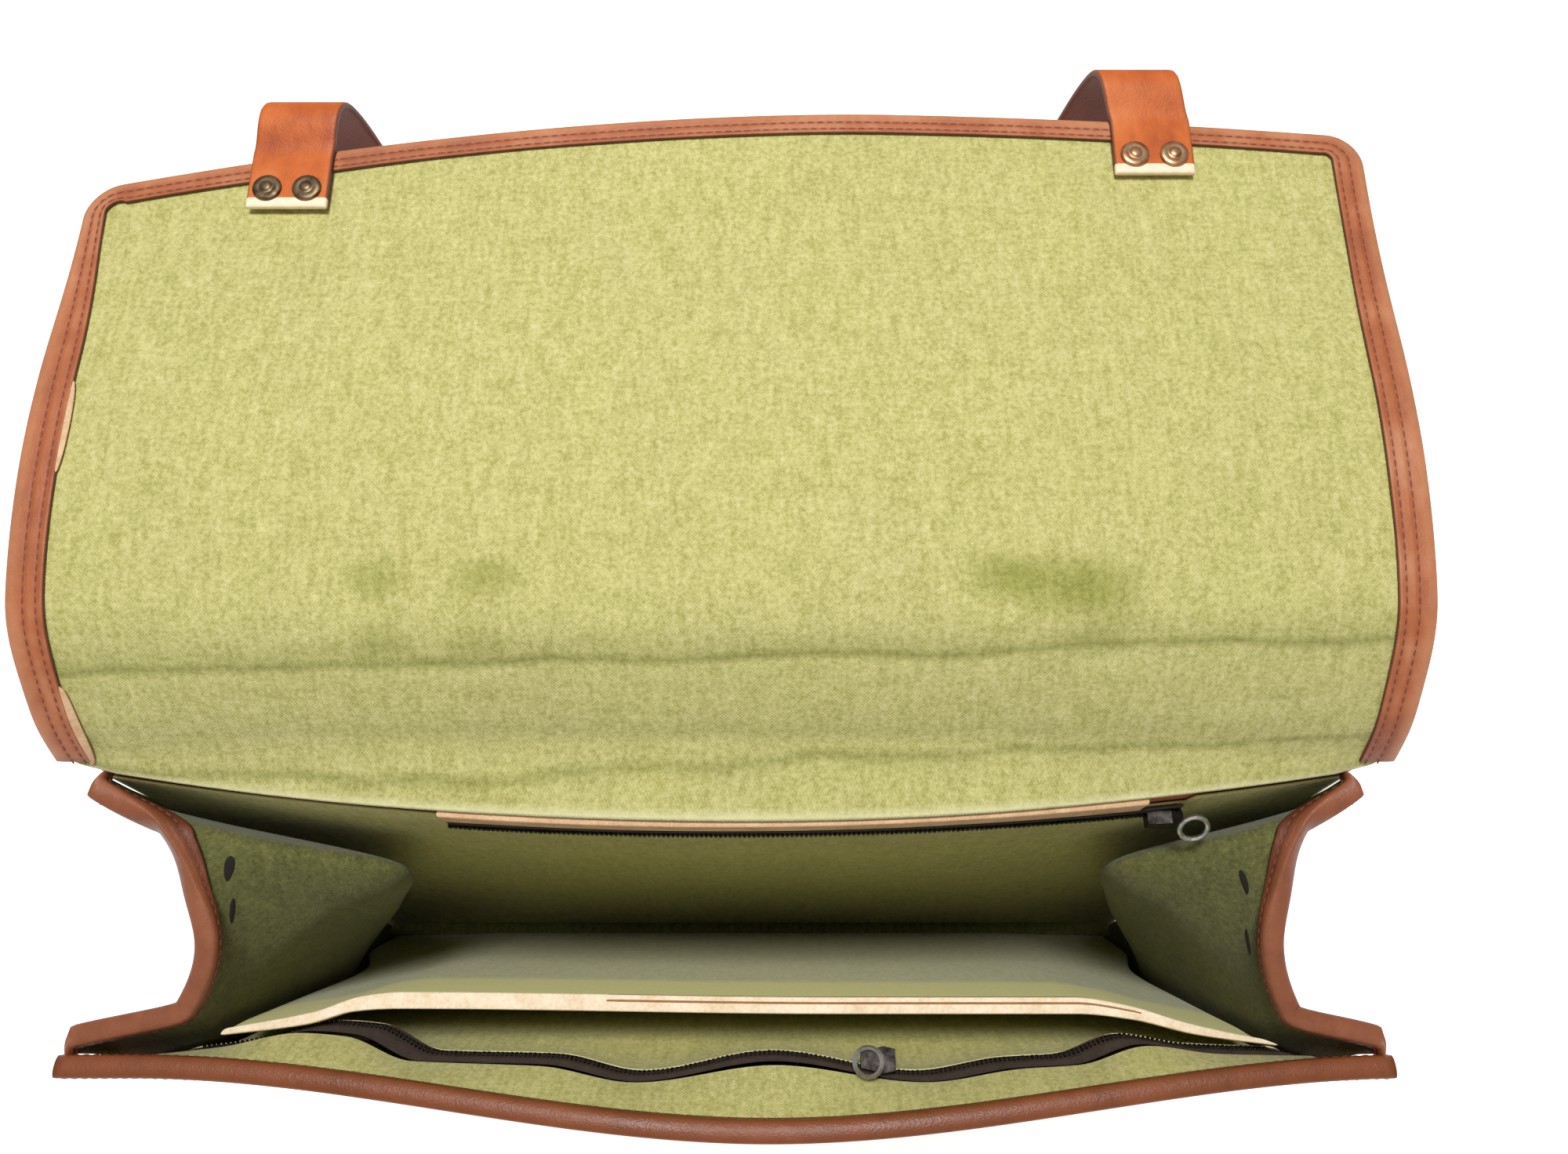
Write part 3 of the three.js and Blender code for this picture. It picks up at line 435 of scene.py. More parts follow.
class MeshMaker:
    """Makes meshes from grids of places, with a UV map in metres and named attributes."""

    @staticmethod
    def build(
        name: str, vertices: Array, faces: Array, uv: Array, marks: dict[str, Array], smooth: bool = True
    ) -> bpy.types.Object:
        """Make an object with faces that point out.

        Args:
            name: The object's name.
            vertices: Places, of shape (n, 3).
            faces: Four indices for each face.
            uv: UV places, of shape (n, 2).
            marks: Named numbers for each vertex.
            smooth: Whether its faces are shaded smooth.

        Returns:
            The new object.
        """
        corners = vertices[faces]
        first = np.einsum("ij,ij->i", corners[:, 0], np.cross(corners[:, 1], corners[:, 2]))
        second = np.einsum("ij,ij->i", corners[:, 0], np.cross(corners[:, 2], corners[:, 3]))
        if first.sum() + second.sum() < 0:
            faces = faces[:, ::-1]
        mesh = bpy.data.meshes.new(name)
        mesh.from_pydata(vertices.tolist(), [], faces.tolist())
        layer = mesh.uv_layers.new(name="sheet")
        loops = np.empty(len(mesh.loops), dtype=np.int32)
        mesh.loops.foreach_get("vertex_index", loops)
        layer.data.foreach_set("uv", uv[loops].astype(np.float32).ravel())
        for mark, values in marks.items():
            attribute = mesh.attributes.new(mark, "FLOAT", "POINT")
            attribute.data.foreach_set("value", values.astype(np.float32).ravel())
        if smooth:
            mesh.shade_smooth()
        return placed(name, mesh)

    @classmethod
    def wall(
        cls, name: str, outer: Array, inner: Array, uv: Array, marks: dict[str, Array]
    ) -> bpy.types.Object:
        """Make a closed wall between two matching grids of places."""
        rows, columns = outer.shape[:2]
        count = rows * columns
        grid = np.arange(count).reshape(rows, columns)
        a, b, c, d = grid[:-1, :-1], grid[1:, :-1], grid[1:, 1:], grid[:-1, 1:]
        sides = [np.stack([a, b, c, d], -1), np.stack([a, d, c, b], -1) + count]
        for edge, turned in ((grid[:, 0], False), (grid[:, -1], True), (grid[0], True), (grid[-1], False)):
            near, far = edge[:-1], edge[1:]
            quad = [near, near + count, far + count, far]
            sides.append(np.stack(quad[::-1] if turned else quad, -1))
        faces = np.concatenate([side.reshape(-1, 4) for side in sides])
        vertices = np.concatenate([outer.reshape(-1, 3), inner.reshape(-1, 3)])
        both = {mark: np.concatenate([v.ravel(), v.ravel()]) for mark, v in marks.items()}
        both["under"] = np.repeat([0.0, 1.0], count)
        flat = uv.reshape(-1, 2)
        return cls.build(name, vertices, faces, np.concatenate([flat, flat]), both)

    @classmethod
    def sheet(
        cls,
        name: str,
        surface: Surface,
        across: Array,
        along: Array,
        offsets: tuple[float, float],
        scale: tuple[float, float] = (1.0, 1.0),
    ) -> bpy.types.Object:
        """Make a sheet with rounded borders.

        Args:
            name: The object's name.
            surface: Gives places for across, along and an offset.
            across: Places across the sheet.
            along: Places along the sheet.
            offsets: The offsets of its two faces.
            scale: Metres for each unit across and along, for its UV map.

        Returns:
            The new object.
        """
        u, v = across[:, None], along[None, :]
        border = np.ones((len(across), len(along)))
        for index, share in ((0, 0.5), (1, 0.86)):
            for line in (border[index], border[-1 - index], border[:, index], border[:, -1 - index]):
                line *= share
        middle, half = sum(offsets) / 2, (offsets[0] - offsets[1]) / 2
        outer = surface(u, v, middle + half * border)
        inner = surface(u, v, middle - half * border)
        uv = np.stack(np.broadcast_arrays(u * scale[0], v * scale[1]), -1)
        reach_u = np.minimum(u - across[0], across[-1] - u) * scale[0]
        reach_v = np.minimum(v - along[0], along[-1] - v) * scale[1]
        rim = np.clip(1 - np.minimum(reach_u, reach_v) / (6 * MM), 0, 1)
        return cls.wall(name, outer, inner, uv, {"rim": rim, "fold": np.zeros_like(rim)})

    @staticmethod
    def cloth_size(places: Array) -> tuple[tuple[float, float], float]:
        """Return the flat size of a cloth from a grid of its places.

        Args:
            places: Places over one face, of shape (n, m, 3).

        Returns:
            Its width and length, at their longest, and its area.
        """
        wide = np.linalg.norm(np.diff(places, axis=0), axis=-1).sum(0).max()
        long = np.linalg.norm(np.diff(places, axis=1), axis=-1).sum(1).max()
        first = np.cross(places[1:, :-1] - places[:-1, :-1], places[1:, 1:] - places[:-1, :-1])
        second = np.cross(places[1:, 1:] - places[:-1, :-1], places[:-1, 1:] - places[:-1, :-1])
        area = (np.linalg.norm(first, axis=-1) + np.linalg.norm(second, axis=-1)).sum() / 2
        return (float(wide), float(long)), float(area)

    @staticmethod
    def turned(
        name: str, profile: Sequence[tuple[float, float]], turn: Matrix, sides: int = 40
    ) -> bpy.types.Object:
        """Make a closed turned shape from radii and heights, then set it in place."""
        angle = np.linspace(0, 2 * math.pi, sides, endpoint=False)
        radii = np.array([r for r, _ in profile])[:, None]
        heights = np.array([h for _, h in profile])[:, None]
        ring = places_of(radii * np.cos(angle), radii * np.sin(angle), heights + 0 * angle)
        flat = ring.reshape(-1, 3)
        grid = np.arange(len(flat)).reshape(len(profile), sides)
        near, far = grid[:-1], grid[1:]
        quads = np.stack([near, np.roll(near, -1, 1), np.roll(far, -1, 1), far], -1).reshape(-1, 4)
        caps = np.array([[0, 0, profile[0][1]], [0, 0, profile[-1][1]]])
        low, high = len(flat), len(flat) + 1
        fan_low = np.stack([np.full(sides, low), np.roll(grid[0], -1), grid[0]], -1)
        fan_high = np.stack([np.full(sides, high), grid[-1], np.roll(grid[-1], -1)], -1)
        faces = quads.tolist() + fan_low.tolist() + fan_high.tolist()
        mesh = bpy.data.meshes.new(name)
        mesh.from_pydata(np.concatenate([flat, caps]).tolist(), [], faces)
        mesh.shade_smooth()
        shape = bmesh.new()
        shape.from_mesh(mesh)
        bmesh.ops.recalc_face_normals(shape, faces=shape.faces)
        shape.to_mesh(mesh)
        shape.free()
        mesh.transform(turn)
        return placed(name, mesh)


def declare_cloth(piece: bpy.types.Object, places: Array, held: str, *rests_on: str) -> None:
    """Work out a cloth piece's flat size and area from its places, without keeping them.

    Args:
        piece: The cloth; not used.
        places: Places over one of its faces.
        held: How it is held; not used.
        *rests_on: What it lies on or hangs from; not used.
    """
    flat, area = MeshMaker.cloth_size(places)


class Socket:
    """A shader socket that takes part in Python expressions."""

    def __init__(self, shader: Shader, socket: bpy.types.NodeSocket) -> None:
        """Keep the socket and the shader that it is in."""
        self.shader = shader
        self.socket = socket

    def _math(self, operation: str, *values: Socket | float) -> Socket:
        """Add a Math node on these values."""
        inputs = dict(enumerate(values))
        return self.shader.node("ShaderNodeMath", {"operation": operation}, inputs)[0]

    def __add__(self, other: Socket | float) -> Socket:
        """Add."""
        return self._math("ADD", self, other)

    __radd__ = __add__

    def __sub__(self, other: Socket | float) -> Socket:
        """Subtract."""
        return self._math("SUBTRACT", self, other)

    def __rsub__(self, other: Socket | float) -> Socket:
        """Subtract this from a number."""
        return self._math("SUBTRACT", other, self)

    def __mul__(self, other: Socket | float) -> Socket:
        """Multiply."""
        return self._math("MULTIPLY", self, other)

    __rmul__ = __mul__

    def __truediv__(self, other: Socket | float) -> Socket:
        """Divide."""
        return self._math("DIVIDE", self, other)

    def __abs__(self) -> Socket:
        """Return the size without its sign."""
        return self._math("ABSOLUTE", self)

    def clamped(self) -> Socket:
        """Limit to 0 to 1."""
        return self.shader.node("ShaderNodeClamp", {}, {"Value": self})["Result"]

    def wave(self) -> Socket:
        """Return the sine."""
        return self._math("SINE", self)


class NodeOutputs:
    """A node's outputs, read by name or by number."""

    def __init__(self, shader: Shader, node: bpy.types.Node) -> None:
        """Keep the node."""
        self.shader = shader
        self.node = node

    def __getitem__(self, key: str | int) -> Socket:
        """Return one output, ready for expressions."""
        return Socket(self.shader, self.node.outputs[key])


class Shader:
    """Builds one material's nodes."""

    def __init__(self, name: str) -> None:
        """Start an empty material.

        Args:
            name: The material's name.
        """
        self.material = bpy.data.materials.new(name)
        self.material.use_nodes = True
        self.tree = self.material.node_tree
        self.tree.nodes.clear()

    def node(self, kind: str, settings: dict[str, object], inputs: dict[str | int, object]) -> NodeOutputs:
        """Add a node.

        Args:
            kind: The node's type.
            settings: Its properties, and "stops" for a ramp's places and colours.
            inputs: Values or sockets for its inputs, by name or number.

        Returns:
            Its outputs.
        """
        made = self.tree.nodes.new(kind)
        for key, value in settings.items():
            if key == "stops":
                self._set_stops(made.color_ramp, value)
            else:
                setattr(made, key, value)
        for key, value in inputs.items():
            if isinstance(value, Socket):
                self.tree.links.new(value.socket, made.inputs[key])
            else:
                made.inputs[key].default_value = value
        return NodeOutputs(self, made)

    @staticmethod
    def _set_stops(ramp: bpy.types.ColorRamp, stops: Sequence[tuple[float, Colour]]) -> None:
        """Give a colour ramp its stops."""
        while len(ramp.elements) < len(stops):
            ramp.elements.new(1.0)
        for element, (place, colour) in zip(ramp.elements, stops, strict=True):
            element.position = place
            element.color = (*colour, 1.0)

    def object_place(self) -> Socket:
        """Return the Object coordinates."""
        return self.node("ShaderNodeTexCoord", {}, {})["Object"]

    def sheet_place(self) -> tuple[Socket, Socket]:
        """Return the places across and along a sheet, in metres."""
        uv = self.node("ShaderNodeUVMap", {"uv_map": "sheet"}, {})["UV"]
        parts = self.node("ShaderNodeSeparateXYZ", {}, {"Vector": uv})
        return parts["X"], parts["Y"]

    def mark(self, name: str) -> Socket:
        """Return a mesh attribute."""
        return self.node("ShaderNodeAttribute", {"attribute_name": name}, {})["Fac"]

    def grain(self, scale: float, detail: float = 3.0, stretch: Colour | None = None) -> Socket:
        """Return noise from 0 to 1 over Object coordinates."""
        place = self.object_place()
        if stretch is not None:
            place = self.node("ShaderNodeMapping", {}, {"Vector": place, "Scale": stretch})["Vector"]
        inputs = {"Vector": place, "Scale": scale, "Detail": detail, "Roughness": 0.6}
        return self.node("ShaderNodeTexNoise", {}, inputs)["Fac"]

    def blend(self, factor: Socket | float, first: object, second: object, how: str = "MIX") -> Socket:
        """Mix two colours."""
        made = self.tree.nodes.new("ShaderNodeMix")
        made.data_type = "RGBA"
        made.blend_type = how
        for index, value in ((0, factor), (6, first), (7, second)):
            if isinstance(value, Socket):
                self.tree.links.new(value.socket, made.inputs[index])
            elif isinstance(value, tuple):
                made.inputs[index].default_value = (*value, 1.0)
            else:
                made.inputs[index].default_value = value
        return Socket(self, made.outputs[2])

    def tinted(self, factor: Socket, colour: Socket, tint: Colour) -> Socket:
        """Mix a colour with itself multiplied by a tint."""
        return self.blend(factor, colour, self.blend(1.0, colour, tint, "MULTIPLY"))

    def ramp(self, factor: Socket, stops: Sequence[tuple[float, Colour]]) -> Socket:
        """Return a colour from a ramp."""
        return self.node("ShaderNodeValToRGB", {"stops": stops}, {"Fac": factor})["Color"]

    def bump(self, height: Socket, distance: float, strength: float = 1.0) -> Socket:
        """Return a normal bent by a height."""
        inputs = {"Height": height, "Distance": distance, "Strength": strength}
        return self.node("ShaderNodeBump", {}, inputs)["Normal"]

    def finish(
        self, colour: object, roughness: object, normal: Socket | None, **fixed: float
    ) -> bpy.types.Material:
        """End the material in a Principled surface.

        Args:
            colour: Its base colour.
            roughness: Its roughness.
            normal: Its normal, if it has relief.
            **fixed: Other inputs, by name with spaces as underscores.

        Returns:
            The material.
        """
        base = (*colour, 1.0) if isinstance(colour, tuple) else colour
        inputs: dict[str | int, object] = {"Base Color": base, "Roughness": roughness}
        if normal is not None:
            inputs["Normal"] = normal
        for key, value in fixed.items():
            inputs[key.replace("_", " ")] = value
        surface = self.node("ShaderNodeBsdfPrincipled", {}, inputs)["BSDF"]
        self.node("ShaderNodeOutputMaterial", {}, {"Surface": surface})
        return self.material


RAW_END = srgb(252, 230, 198)


@dataclass(frozen=True)
class LeatherFinish:
    """Oiled leather: mottled colour, fine grain, dark cut edges and light fold crests, partly wear and partly
    painted highlight.
    """

    base: Colour
    deep: Colour
    crest: Colour
    edge: Colour
    grain_scale: float = 1500.0
    roughness: float = 0.5
    edge_start: float = 0.72
    under: Colour | None = None
    raw_end: float = 0.0

    def material(self, name: str) -> bpy.types.Material:
        """Build the leather's material."""
        s = Shader(name)
        mottle = s.grain(38.0, 5.0)
        streak = s.grain(120.0, 4.0, (1.0, 0.35, 1.0))
        tone = (mottle * 0.65 + streak * 0.35).clamped()
        body = s.ramp(tone, [(0.32, self.deep), (0.5, self.base), (0.7, self.crest)])
        # Lighter fold crests: partly wear, partly painted highlight.
        wear_and_highlight = (s.mark("fold") * (0.35 + 0.9 * s.grain(210.0, 4.0))).clamped()
        body = s.blend(wear_and_highlight * 0.75, body, self.crest)
        body = s.blend(s.mark("seam") * 0.55, body, self.deep)
        steep = 1.1 / (1 - self.edge_start)
        edge = ((s.mark("rim") - self.edge_start) * steep * (0.7 + 0.5 * s.grain(400.0))).clamped()
        body = s.blend(edge * 0.85, body, self.edge)
        # Painted shade: the piece's underside is darkened towards the under colour.
        if self.under is not None:
            body = s.blend(s.mark("under") * (0.6 + 0.5 * mottle).clamped(), body, self.under)
            raw = ((self.raw_end - s.sheet_place()[1]) / (0.5 * MM)).clamped()
            body = s.blend(raw * (0.75 + 0.4 * s.grain(300.0)).clamped(), body, RAW_END)
        place = s.object_place()
        cells = s.node("ShaderNodeTexVoronoi", {}, {"Vector": place, "Scale": self.grain_scale})["Distance"]
        wrinkle = s.grain(420.0, 5.0)
        height = cells * 0.5 + wrinkle * 0.9 - 1.6 * s.mark("seam")
        rough = (self.roughness - 0.12 + 0.3 * mottle - 0.1 * wear_and_highlight).clamped()
        return s.finish(body, rough, s.bump(height, 0.25 * MM, 0.55), Coat_Weight=0.0, IOR=1.45)


@dataclass(frozen=True)
class CanvasFinish:
    """Heathered cotton canvas: light and dark flecks over a plain weave."""

    base: Colour
    light: Colour
    dark: Colour
    hem: Colour = (0.6, 0.55, 0.35)
    hem_start: float = 0.8
    fleck_scale: float = 680.0
    # Where a painted band of light starts along the sheet, if it has one.
    lit_band_from: float | None = None
    # Whether the sheet takes rubbed stains, painted shade along its creases and painted shade on the flap's
    # lower part.
    stained_and_shaded: bool = False

    def material(self, name: str) -> bpy.types.Material:
        """Build the canvas's material."""
        s = Shader(name)
        across, along = s.sheet_place()
        thread = 2 * math.pi / (1.05 * MM)
        weave = (across * thread).wave() * (along * thread).wave()
        fleck = s.grain(self.fleck_scale, 2.5)
        fibre = s.grain(1900.0, 2.0)
        patch = s.grain(16.0, 3.0)
        slub_across = s.grain(300.0, 2.0, (0.22, 1.0, 1.0))
        slub_along = s.grain(420.0, 2.0, (1.0, 0.22, 0.22))
        tone = fleck * 0.42 + fibre * 0.3 + slub_across * 0.1 + slub_along * 0.23 + weave * 0.03
        colour = s.ramp(tone - 0.02, [(0.38, self.dark), (0.52, self.base), (0.68, self.light)])
        faded = s.grain(34.0, 4.0, (1.0, 0.6, 0.6))
        colour = s.tinted((faded * 2.4 - 0.9).clamped() * 0.5, colour, (1.0, 0.965, 1.14))
        shade = (patch - 0.5) * 0.22
        colour = s.tinted((0.5 - shade).clamped(), colour, (0.86, 0.87, 0.8))
        if self.stained_and_shaded:
            colour = self._stains_and_painted_shade(s, colour, across, along)
        hem = ((s.mark("rim") - self.hem_start) / (0.9 * (1 - self.hem_start))).clamped()
        colour = s.blend(hem * (0.4 + s.grain(260.0)).clamped() * 0.8, colour, self.hem)
        if self.lit_band_from is not None:
            # Painted light: above this height the sheet is lit from behind, in the hem colour.
            lit = ((along - self.lit_band_from) / (9 * MM)).clamped()
            colour = s.blend(lit * (0.55 + 0.6 * fleck).clamped(), colour, self.hem)
        height = weave * 0.35 + fibre * 0.9 + fleck * 0.5
        return s.finish(colour, 0.92, s.bump(height, 0.3 * MM, 0.6), Sheen_Weight=0.12, Sheen_Roughness=0.5)

    def _stains_and_painted_shade(self, s: Shader, colour: Socket, across: Socket, along: Socket) -> Socket:
        """Darken the places where straps and hardware have rubbed, and paint shade along the crease lines and
        over the flap's lower part.

        Args:
            s: The shader that is being built.
            colour: The canvas's colour.
            across: Place across the flap.
            along: Place up the flap.

        Returns:
            The colour with its stains and painted shade.
        """
        ragged = s.grain(90.0, 4.0) * 0.9 + 0.35
        total: Socket | float = 0.0
        for place, size, depth in RUBBED_MARKS:
            du = (across - place[0]) / size[0]
            dv = (along - place[1]) / size[1]
            total = (1 - du * du - dv * dv).clamped() * depth + total
        rub = (total * ragged).clamped()
        colour = s.tinted(rub, colour, (0.62, 0.66, 0.42))
        # Painted shade along the crease lines.
        wander = (s.grain(22.0, 3.0) - 0.5) * (7 * MM)
        for height, width, depth in CREASE_LINES:
            off = abs(along - height - across * 0.03 + wander)
            line = (1 - off / width).clamped() * (0.45 + s.grain(60.0)) * depth
            colour = s.tinted(line.clamped(), colour, (0.55, 0.58, 0.4))
        # Painted shade: the flap's steep lower part, near the hinge, is darkened.
        low = ((46 * MM - along) / (10 * MM)).clamped() * 0.14
        return s.tinted(low, colour, (0.72, 0.76, 0.66))


RUBBED_MARKS = (
    ((-100 * MM, 64 * MM), (11 * MM, 8 * MM), 0.9),
    ((-68 * MM, 64 * MM), (12 * MM, 7 * MM), 0.95),
    ((-100 * MM, 45 * MM), (11 * MM, 7 * MM), 0.75),
    ((-70 * MM, 45 * MM), (11 * MM, 7 * MM), 0.65),
    ((80 * MM, 64 * MM), (15 * MM, 9 * MM), 0.9),
    ((97 * MM, 62 * MM), (18 * MM, 11 * MM), 1.0),
    ((111 * MM, 60 * MM), (14 * MM, 12 * MM), 0.8),
    ((109 * MM, 46 * MM), (12 * MM, 6 * MM), 0.5),
)
# Heights, widths and depths of the flap's creases: they shape the lining and set its painted crease shade.
CREASE_LINES = (
    (41 * MM, 2.4 * MM, 0.85),
    (44 * MM, 6 * MM, 0.3),
    (7.5 * MM, 2.0 * MM, 0.7),
)


@dataclass(frozen=True)
class PlainFinish:
    """A plain cloth, cut edge or thread with some fibre in it."""

    base: Colour
    dark: Colour
    scale: float = 900.0
    roughness: float = 0.85

    def material(self, name: str) -> bpy.types.Material:
        """Build the material."""
        s = Shader(name)
        fibre = s.grain(self.scale, 4.0)
        patch = s.grain(self.scale * 0.12, 3.0)
        colour = s.ramp((fibre * 0.5 + patch * 0.5).clamped(), [(0.3, self.dark), (0.62, self.base)])
        return s.finish(colour, self.roughness, s.bump(fibre, 0.2 * MM, 0.5))


@dataclass(frozen=True)
class MetalFinish:
    """Cast or plated metal with dull patches and fine scratches."""

    bright: Colour
    dull: Colour
    roughness: float = 0.28

    def material(self, name: str) -> bpy.types.Material:
        """Build the material."""
        s = Shader(name)
        patch = s.grain(260.0, 5.0)
        scratch = s.grain(1500.0, 3.0, (1.0, 0.15, 0.3))
        colour = s.ramp(patch, [(0.35, self.dull), (0.6, self.bright)])
        rough = (self.roughness + 0.3 * (1 - patch) + 0.12 * scratch - 0.08).clamped()
        return s.finish(colour, rough, s.bump(scratch + patch, 0.06 * MM, 0.5), Metallic=1.0)


class Finish(Enum):
    """The bag's finishes, each with the record's slot that it belongs to."""

    SHELL = "shell_leather"
    BINDING = "binding_leather"
    GUSSET_BINDING = "gusset_binding_leather"
    FRONT_BINDING = "front_binding_leather"
    RAW = "raw_leather"
    STRAP = "strap_leather"
    FLAP_CANVAS = "flap_canvas"
    CANVAS = "lining_canvas"
    GUSSET_CANVAS = "gusset_canvas"
    POCKET_CANVAS = "pocket_canvas"
    DIVIDER_CANVAS = "divider_canvas"
    HEM_TAPE = "hem_tape"
    SLOT = "slot_thread"
    CREAM = "cream_edge"
    TAPE = "zip_tape"
    THREAD = "binding_thread"
    DARK_METAL = "dark_metal"
    SILVER = "silver_metal"
    RIVET = "rivet_metal"
    OLD_RIVET = "old_rivet_metal"

    @property
    def slot(self) -> str:
        """The record's material slot."""
        others = {
            Finish.STRAP: "shell_leather",
            Finish.FLAP_CANVAS: "lining_canvas",
            Finish.GUSSET_CANVAS: "lining_canvas",
            Finish.POCKET_CANVAS: "lining_canvas",
            Finish.DIVIDER_CANVAS: "lining_canvas",
            Finish.GUSSET_BINDING: "binding_leather",
            Finish.FRONT_BINDING: "binding_leather",
            Finish.HEM_TAPE: "raw_leather",
            Finish.SLOT: "zip_tape",
            Finish.THREAD: "binding_leather",
            Finish.OLD_RIVET: "rivet_metal",
        }
        return others.get(self, self.value)


class Wardrobe:
    """Makes each finish once and dresses pieces with it."""

    def __init__(self) -> None:
        """List the finishes."""
        open_canvas = tones((199, 193, 123), (226, 218, 156), (166, 162, 86))
        # A darker copy of the lining canvas: painted shade for the gussets and the floor deep in the bag.
        shaded_canvas = tones((104, 104, 54), (130, 128, 74), (78, 80, 36))
        # A lighter copy of the lining canvas: painted light on the divider's back face, which sits in shade.
        brightened_canvas = tones((220, 218, 170), (236, 232, 192), (194, 196, 150))
        self.kinds = {
            Finish.SHELL: LeatherFinish(*tones((164, 88, 58), (128, 62, 42), (196, 122, 90), (92, 48, 38))),
            Finish.BINDING: LeatherFinish(
                *tones((176, 102, 62), (140, 72, 44), (200, 140, 102), (84, 40, 30))
            ),
            # Darker copies of the binding leather: painted shade on the mouth's gusset and front bindings.
            Finish.GUSSET_BINDING: LeatherFinish(
                *tones((108, 54, 30), (78, 36, 22), (156, 94, 64), (50, 24, 16))
            ),
            Finish.FRONT_BINDING: LeatherFinish(
                *tones((112, 56, 26), (78, 36, 16), (138, 76, 42), (50, 24, 14))
            ),
            Finish.RAW: PlainFinish(*tones((226, 190, 150), (186, 140, 100)), 1400.0),
            Finish.STRAP: LeatherFinish(
                *tones((196, 98, 38), (158, 70, 28), (212, 122, 66), (104, 66, 50)),
                # The strap's dark under colour is painted shade on its underside.
                edge_start=0.88, under=srgb(84, 50, 42), raw_end=3.4 * MM,
            ),
            Finish.FLAP_CANVAS: CanvasFinish(*open_canvas, srgb(232, 226, 176), stained_and_shaded=True),
            Finish.CANVAS: CanvasFinish(*open_canvas, open_canvas[0]),
            # The gussets and the floor take the darker canvas, which is painted shade.
            Finish.GUSSET_CANVAS: CanvasFinish(*shaded_canvas, shaded_canvas[0]),
            Finish.POCKET_CANVAS: CanvasFinish(*open_canvas, srgb(232, 222, 178)),
            # The divider takes the lighter canvas and a painted band of light along its top.
            Finish.DIVIDER_CANVAS: CanvasFinish(*brightened_canvas, srgb(246, 240, 150), lit_band_from=196 * MM),
            Finish.HEM_TAPE: PlainFinish(*tones((176, 128, 76), (140, 96, 54)), 1200.0),
            # Near-black slits in the gussets: their darkness is painted shade.
            Finish.SLOT: PlainFinish(*tones((34, 28, 16), (14, 12, 8)), 1200.0),
            Finish.CREAM: PlainFinish(*tones((252, 236, 208), (226, 196, 156)), 1100.0),
            Finish.TAPE: PlainFinish(*tones((58, 42, 30), (26, 20, 14)), 1600.0),
            Finish.THREAD: PlainFinish(*tones((140, 70, 46), (96, 44, 32)), 2600.0, 0.6),
            Finish.DARK_METAL: MetalFinish(*tones((52, 48, 46), (26, 24, 22)), 0.35),
            Finish.SILVER: MetalFinish(*tones((226, 226, 222), (170, 170, 168)), 0.2),
            Finish.RIVET: MetalFinish(*tones((222, 180, 138), (168, 112, 74)), 0.25),
            Finish.OLD_RIVET: MetalFinish(*tones((150, 128, 98), (88, 74, 56)), 0.32),
        }
        self.made: dict[Finish, bpy.types.Material] = {}
        self.dressed = 0

    def material(self, finish: Finish) -> bpy.types.Material:
        """Return a finish's material, made once."""
        if finish not in self.made:
            self.made[finish] = self.kinds[finish].material(finish.value)
        return self.made[finish]

    def dress(self, piece: bpy.types.Object, finish: Finish, *nodes: str) -> bpy.types.Object:
        """Finish a piece, make it ride on the bag and stand for its solids.

        Args:
            piece: The piece.
            finish: Its finish.
            *nodes: The solids that it replaces.

        Returns:
            The piece.
        """
        piece.data.materials.clear()
        piece.data.materials.append(self.material(finish))
        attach(piece, BODY)
        self.dressed += 1
        if nodes:
            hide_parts(*nodes)
        return piece


class RunKind(Enum):
    """What is repeated along a run."""

    STITCH = "stitch"
    TOOTH = "tooth"


